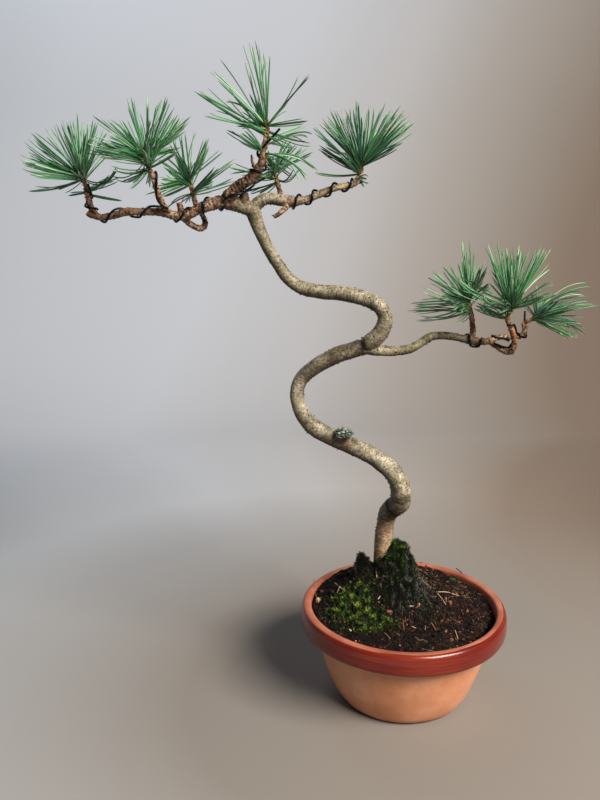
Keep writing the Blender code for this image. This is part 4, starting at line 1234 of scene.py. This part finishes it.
def finishSoil():
    # Potting soil of peat and bark, watered: nearly black, damp, with rusty and olive patches
    finish, tree, shader = newMaterial("pottingSoil", roughness=0.9, ior=1.3)
    place = objectPlace(tree)
    color = ramp(tree, cloudy(tree, place, 160.0, 6.0, 0.7), (0.35, "#050403"), (0.5, "#0c0806"),
                 (0.62, "#170f0a"), (0.75, "#271911"))
    connect(tree, shader, color, bump(tree, cloudy(tree, place, 1100.0, 3.0), 0.8, 0.0012))
    return finish


def makeSoil():
    top = []
    for i in range(soil["rings"] + 1):
        radius = max(0.01, soil["radius"] * (1 - i / soil["rings"]))
        top.append(lambda turn, r=radius: (r, roughSoil(r * math.cos(turn), r * math.sin(turn))))
    under = [(soil["radius"] - inset, height) for inset, height in soilUnder]
    points, faces = turnedShape([(0.01, soilUnder[0][1]), *under, *top], soil["sides"])
    faces.append(list(range(len(points) - soil["sides"], len(points))))
    faces.append(list(reversed(range(soil["sides"]))))
    makePiece("soilGround", points, faces, [finishSoil()], "soil", stands="soil")


crumbs = dict(count=7000, size=(0.4, 1.4), big=0.03, bigSize=(1.6, 2.8), seed=21)
# pebbles and bark chips that the photograph shows: pixel, size in mm and tone
chips = [
    (418, 606, 3.0, 1.0), (459, 623, 2.4, 0.97), (389, 613, 3.2, 0.95), (437, 577, 2.0, 0.95),
    (350, 598, 1.6, 0.97), (424, 592, 1.8, 0.93), (451, 637, 1.8, 0.95), (467, 612, 2.0, 0.93),
    (426, 566, 2.4, 0.9), (434, 601, 1.6, 0.95), (405, 622, 1.8, 0.93), (333, 601, 1.5, 0.97),
]
cube = [(-1, -1, -1), (1, -1, -1), (1, 1, -1), (-1, 1, -1), (-1, -1, 1), (1, -1, 1), (1, 1, 1), (-1, 1, 1)]
cubeFaces = [(3, 2, 1, 0), (4, 5, 6, 7), (0, 1, 5, 4), (1, 2, 6, 5), (2, 3, 7, 6), (3, 0, 4, 7)]


def finishCrumbs():
    # Crumbs of peat, composted bark and a little grit: matt, from black through rust to tan
    return tonedMaterial("peatAndBark", 0.85, 1.3, (0.0, "#040303"), (0.5, "#0d0908"), (0.72, "#22140f"),
                         (0.87, "#4b2a1f"), (0.96, "#7f4c36"), (1.0, "#b07c66"))


# A random place on the soil, clear of the stem and of the pot's wall
def insideSoil(draw, margin=1.5):
    while True:
        x, y = draw.uniform(-66, 66), draw.uniform(-66, 66)
        if math.hypot(x, y) < soil["radius"] - margin and fromStem(x, y) > 7.5:
            return x, y


# A rough block with its corners drawn in or out, half sunk in the soil
def addCrumb(points, faces, tones, draw, x, y, size, tone):
    spin = Quaternion([draw.gauss(0, 1) for _ in range(4)]).normalized()
    half = size * 0.5
    stretch = Vector((half * draw.uniform(0.7, 1.6), half, half * draw.uniform(0.4, 0.9)))
    centre = Vector((x, y, roughSoil(x, y) + 0.15 * size))
    start = len(points)
    for corner in cube:
        shape = Vector([c * s * draw.uniform(0.6, 1.05) for c, s in zip(corner, stretch)])
        points.append(centre + spin @ shape)
    faces.extend([start + k for k in face] for face in cubeFaces)
    tones.extend([tone] * len(cube))


def makeCrumbs():
    draw = random.Random(crumbs["seed"])
    points, faces, tones = [], [], []
    for _ in range(crumbs["count"]):
        x, y = insideSoil(draw)
        size = draw.uniform(*(crumbs["bigSize"] if draw.random() < crumbs["big"] else crumbs["size"]))
        addCrumb(points, faces, tones, draw, x, y, size, draw.random() ** 1.8)
    for u, v, size, tone in chips:
        spot = soilAtPixel(u, v)
        addCrumb(points, faces, tones, draw, spot.x, spot.y, size, tone)
    makePiece("soilCrumbs", points, faces, [finishCrumbs()], "soil", {"tone": tones}, smooth=False)


# Fine roots and fibres over the soil, then the straws that the photograph shows: pixels, radius and tone
fibres = dict(
    count=2600, length=(2, 8), radius=(0.05, 0.12), rise=(0.1, 1.3), wander=0.5, pale=0.04, seed=33,
)
straws = [
    ([(335, 584), (340, 588), (345, 592)], 0.42, 0.9), ([(340, 587), (337, 594)], 0.3, 0.86),
    ([(416, 570), (421, 571), (426, 574)], 0.35, 0.86), ([(417, 577), (424, 583), (431, 589)], 0.38, 0.8),
    ([(435, 593), (447, 593), (459, 597)], 0.32, 0.9), ([(437, 594), (442, 600), (446, 606)], 0.42, 0.84),
    ([(446, 598), (446, 603)], 0.3, 0.86), ([(409, 607), (414, 607)], 0.35, 0.97),
    ([(380, 585), (382, 590)], 0.38, 1.0), ([(388, 585), (384, 590)], 0.35, 0.8),
    ([(382, 595), (378, 600)], 0.32, 1.0), ([(363, 597), (366, 603)], 0.35, 0.95),
    ([(349, 630), (351, 632)], 0.45, 1.0), ([(384, 634), (387, 636), (390, 640)], 0.42, 0.72),
    ([(426, 623), (425, 631)], 0.27, 0.84), ([(431, 623), (436, 631)], 0.27, 0.84),
    ([(411, 627), (416, 629)], 0.27, 0.92), ([(403, 621), (404, 631)], 0.3, 0.7),
    ([(455, 631), (458, 640)], 0.27, 0.9), ([(477, 594), (486, 597), (488, 602)], 0.2, 0.75),
    ([(444, 609), (447, 614), (450, 619)], 0.5, 0.05), ([(376, 569), (377, 580)], 0.45, 0.88),
    ([(421, 563), (426, 567), (431, 569)], 0.4, 0.6), ([(456, 569), (461, 573), (464, 577)], 0.4, 0.1),
]
# a seed husk at the left edge, and the stalk that rises from it: its feet on the soil, its top by a pixel
husk = dict(
    at=(318, 602), length=2.5, width=1.9, rows=8, columns=14, ribs=5, stalkFoot=(317, 599),
    stalkTop=(314, 579), stalkRadius=0.22,
)


def finishFibres():
    # Dry roots and straw: matt, from rust-brown hair to pale straw
    return tonedMaterial("rootsAndStraw", 0.7, 1.45, (0.0, "#120c0a"), (0.4, "#38201a"), (0.65, "#653c31"),
                         (0.85, "#9b7d5c"), (1.0, "#ddd0b4"))


def addStrand(points, faces, tones, spots, radius, tone, sides, step=1.2):
    start = len(points)
    addTube(points, faces, smoothRoute([(*spot, radius) for spot in spots], step), sides)
    tones.extend([tone] * (len(points) - start))


# Four points of a strand that wanders over the soil, without those that would lie on the pot
def strandSpots(draw, x, y, heading, length, strand):
    spots = []
    for k in range(4):
        px, py = x + math.cos(heading) * length * k / 3, y + math.sin(heading) * length * k / 3
        heading += draw.uniform(-strand["wander"], strand["wander"])
        if math.hypot(px, py) < soil["radius"] - 2:
            spots.append((px, py, roughSoil(px, py) + draw.uniform(*strand["rise"])))
    return spots


def makeFibres():
    draw = random.Random(fibres["seed"])
    points, faces, tones = [], [], []
    for _ in range(fibres["count"]):
        x, y = insideSoil(draw, 4)
        # more of them lie to the right
        if draw.random() > 0.55 + x / 80:
            continue
        heading, length = draw.uniform(0, 2 * math.pi), draw.uniform(*fibres["length"])
        spots = strandSpots(draw, x, y, heading, length, fibres)
        if len(spots) > 2:
            tone = draw.uniform(0.05, 0.72) if draw.random() < 1 - fibres["pale"] else 0.88
            addStrand(points, faces, tones, spots, draw.uniform(*fibres["radius"]), tone, 3)
    for pixels, radius, tone in straws:
        feet = [soilAtPixel(u, v) for u, v in pixels]
        spots = [(foot.x, foot.y, foot.z + radius + 0.4) for foot in feet]
        addStrand(points, faces, tones, spots, radius, tone, 7)
    foot = soilAtPixel(*husk["stalkFoot"])
    top = atPixel(*husk["stalkTop"], foot.y)
    stalk = [foot, foot.lerp(top, 0.5) + Vector((-0.8, 0, 0)), top]
    addStrand(points, faces, tones, stalk, husk["stalkRadius"], 0.75, 5)
    centre = soilAtPixel(*husk["at"]) + Vector((0, 0, husk["width"] * 0.6))

    def huskShape(row, around):
        polar = math.pi * (row + 0.02) / (husk["rows"] + 0.04)
        rib = math.cos(around * husk["ribs"])
        width = husk["width"] * math.sin(polar) * (1 + 0.12 * rib)
        spot = Vector((width * math.cos(around), width * math.sin(around), husk["length"] * math.cos(polar)))
        return centre + spot, 0.92 - 0.3 * (row / husk["rows"]) + 0.08 * rib

    addBlob(points, faces, tones, husk["rows"], husk["columns"], huskShape)
    makePiece("fibresAndStraw", points, faces, [finishFibres()], "soil", {"tone": tones})


# Moss: patches by pixel and spread in mm, each of many small leafy sprigs
mossPatches = {
    "cushionMoss": [
        dict(at=(352, 604), spread=(13, 10), count=4200, tone=(0.15, 1.0), height=(1.0, 3.0), gaps=-0.22),
        dict(at=(372, 621), spread=(12, 7), count=2400, tone=(0.15, 1.0), height=(1.0, 2.6), gaps=-0.15),
        dict(at=(345, 612), spread=(13, 11), count=2000, tone=(0.0, 0.5), height=(1.0, 2.2), gaps=-0.2),
        dict(at=(388, 628), spread=(7, 4), count=500, tone=(0.1, 0.7), height=(1.0, 2.2), gaps=-0.1),
    ],
    "moundMoss": [
        dict(at=(400, 549), spread=(6, 6), count=900, tone=(0.05, 0.7), height=(1.4, 3.4), gaps=-0.2),
        dict(at=(394, 553), spread=(4, 6), count=420, tone=(0.1, 0.6), height=(1.4, 3.2), gaps=-0.3),
        dict(at=(398, 563), spread=(9, 9), count=3200, tone=(0.0, 0.5), height=(1.2, 2.8), gaps=-0.5),
        dict(at=(403, 585), spread=(11, 10), count=2000, tone=(0.0, 0.2), height=(1.2, 2.8), gaps=-0.4),
        dict(at=(380, 585), spread=(9, 11), count=1100, tone=(0.0, 0.35), height=(1.2, 2.4), gaps=-0.2),
    ],
    "strayMoss": [
        dict(at=(374, 566), spread=(7, 6), count=620, tone=(0.1, 0.5), height=(1.6, 3.2), gaps=-0.2),
        dict(at=(374, 565), spread=(3, 3), count=110, tone=(0.6, 1.0), height=(2.2, 4.2), gaps=-0.5),
        dict(at=(382, 560), spread=(5, 3), count=380, tone=(0.1, 0.5), height=(2.2, 4.2), gaps=-0.4),
        dict(at=(361, 558), spread=(3.4, 3), count=420, tone=(0.0, 0.06), height=(1.2, 3.6), gaps=-0.3),
        dict(at=(452, 581), spread=(2.6, 2.2), count=90, tone=(0.55, 0.85), height=(1.4, 2.4), gaps=-0.3),
        dict(at=(432, 605), spread=(20, 15), count=1200, tone=(0.0, 0.22), height=(0.9, 1.8), gaps=-0.1),
        dict(at=(440, 575), spread=(18, 8), count=700, tone=(0.0, 0.25), height=(0.9, 1.8), gaps=-0.1),
    ],
}
moss = dict(leaves=7, leafTurn=2.4, leafWidth=0.19, leafReach=0.35, seed=44)
mossHair = dict(
    centre=(2, -2), spread=14, count=3600, length=(1.2, 3.8), rise=(0.2, 1.6), wander=0.4, radius=0.07,
    steepest=3.8, seed=45,
)


def finishMoss():
    # Cushion moss, alive and damp: velvety, from blackish to yellow-green at the tips
    return tonedMaterial("cushionMoss", 0.6, 1.4, (0.0, "#070906"), (0.25, "#101a0a"), (0.5, "#264012"),
                         (0.75, "#4d7a1f"), (1.0, "#a3b445"))


# A sprig: small pointed leaves up a stem, turned round it
def addSprig(points, faces, tones, root, up, tall, tone, firstTurn):
    side, leaves, half = up.orthogonal().normalized(), moss["leaves"], moss["leafWidth"]
    for k in range(leaves):
        foot = root + up * (tall * (0.25 + 0.75 * k / (leaves - 1)))
        outward = Quaternion(up, k * moss["leafTurn"] + firstTurn) @ side
        across = up.cross(outward)
        reach = tall * moss["leafReach"] * (1.15 - 0.6 * k / leaves)
        start = len(points)
        points.extend([
            foot - across * half - up * 0.3, foot + across * half - up * 0.3,
            foot + outward * reach + up * reach * 0.7, foot - outward * 0.12 - up * 0.45,
        ])
        faces.extend([(start, start + 1, start + 2), (start + 1, start + 3, start + 2),
                      (start + 3, start, start + 2), (start + 3, start + 1, start)])
        tones += [tone * (0.55 + 0.1 * k)] * 2 + [min(1, tone * (0.75 + 0.12 * k)), tone * 0.4]


def makeMoss(name, patches, finish):
    draw = random.Random(moss["seed"])
    points, faces, tones = [], [], []
    for patch in patches:
        centre = soilAtPixel(*patch["at"])
        for _ in range(patch["count"]):
            x = centre.x + draw.gauss(0, 1) * patch["spread"][0] * 0.6
            y = centre.y + draw.gauss(0, 1) * patch["spread"][1] * 0.6
            if math.hypot(x, y) > soil["radius"] - 2 or fromStem(x, y) < 7.2:
                continue
            clump = noise.noise(Vector((x / 3.6, y / 3.6, 9)))
            if clump < patch["gaps"]:
                continue
            downX, downY = soilSlope(x, y)
            up = Vector((downX + draw.uniform(-0.5, 0.5), downY + draw.uniform(-0.5, 0.5), 1.0)).normalized()
            root = Vector((x, y, roughSoil(x, y) - 0.2))
            tall = draw.uniform(*patch["height"]) * (0.7 + 0.8 * clump)
            tone = min(1.0, draw.uniform(*patch["tone"]) * (0.65 + 1.1 * max(0.0, clump)))
            addSprig(points, faces, tones, root, up, tall, tone, x)
    makePiece(name, points, faces, [finish], "soil", {"tone": tones}, smooth=False)
    return len(points)


def finishMossHair():
    # Dead moss threads, dried on the mound: matt, from black to grey-green
    return tonedMaterial("driedMoss", 0.8, 1.4, (0.0, "#0b0e0b"), (0.5, "#303b32"), (1.0, "#8a978c"))


# Dead threads lie over the mound's sides
def makeMossHair():
    points, faces, tones = [], [], []
    draw = random.Random(mossHair["seed"])
    for _ in range(mossHair["count"]):
        x, y = (middle + draw.gauss(0, 1) * mossHair["spread"] * 0.6 for middle in mossHair["centre"])
        if fromStem(x, y) < 8:
            continue
        down = Vector(soilSlope(x, y))
        heading, length = math.atan2(down.y, down.x) + draw.gauss(0, 1.4), draw.uniform(*mossHair["length"])
        spots = strandSpots(draw, x, y, heading, length, mossHair)
        # on the steepest parts a thread would hang as a long streak
        heights = [spot[2] for spot in spots]
        if max(heights) - min(heights) > mossHair["steepest"]:
            continue
        addStrand(points, faces, tones, spots, mossHair["radius"], draw.random() ** 1.7, 3, 1.5)
    makePiece("mossHair", points, faces, [finishMossHair()], "soil", {"tone": tones})
    return len(points)


# Lichen crust on the pruned stub, as many small lobes over a dome
lichen = dict(
    centre=(-45.2, -1.5, 199.6), reach=(5.7, 5.4, 4.0), lobes=150, lobeSize=(0.7, 1.5), rise=(-15, 90),
    rows=6, columns=12, seed=55,
)


def finishLichen():
    # Foliose lichen, grown in lobes: chalky, blue-grey with green in the folds
    return tonedMaterial("lichen", 0.85, 1.4, (0.0, "#232b27"), (0.4, "#48554e"), (0.75, "#717f78"),
                         (1.0, "#b9c0bb"))


def makeLichen():
    draw = random.Random(lichen["seed"])
    points, faces, tones = [], [], []
    for _ in range(lichen["lobes"]):
        turn, rise = draw.uniform(0, 2 * math.pi), math.radians(draw.uniform(*lichen["rise"]))
        onDome = (math.cos(rise) * math.cos(turn), math.cos(rise) * math.sin(turn), math.sin(rise))
        outward = [part * reach for part, reach in zip(onDome, lichen["reach"])]
        middle = Vector(lichen["centre"]) + Vector(outward)
        size, lobeTone = draw.uniform(*lichen["lobeSize"]), draw.uniform(0.0, 0.8)

        def lobeShape(row, around):
            polar = math.pi * row / lichen["rows"]
            flat = math.sin(polar)
            unit = Vector((flat * math.cos(around), flat * math.sin(around), math.cos(polar) * 0.6))
            bulge = 1 + 0.35 * noise.noise(middle + unit * 1.4)
            tone = lobeTone + 0.4 * unit.z + 0.3 * noise.noise(middle + unit * 3)
            return middle + unit * size * bulge, min(1, max(0, tone))

        addBlob(points, faces, tones, lichen["rows"], lichen["columns"], lobeShape)
    makePiece("lichenCap", points, faces, [finishLichen()], "bark", {"tone": tones})


def main():
    makeCamera()
    makeStudio()
    makeLights()
    print("studio: floor, camera and lights")
    makePot()
    makeGlaze()
    print("pot: clay and glazed band")
    samples, tree = woodSamples()
    print("wood points:", makeWood(samples, tree, finishBark()))
    scaleFinish = finishFlakes()
    print("bark scale faces:", makeFlakes(scaleFinish))
    makeLichen()
    makeWires(finishWire())
    print("wires:", len(wires))
    print("needles:", makeSprays())
    makeShoots(finishShoot(), scaleFinish)
    print("shoots:", len(sprays))
    makeSoil()
    makeCrumbs()
    makeFibres()
    print("soil, crumbs and fibres")
    mossFinish = finishMoss()
    for name, patches in mossPatches.items():
        print("moss points:", name, makeMoss(name, patches, mossFinish))
    print("dead moss points:", makeMossHair())


main()
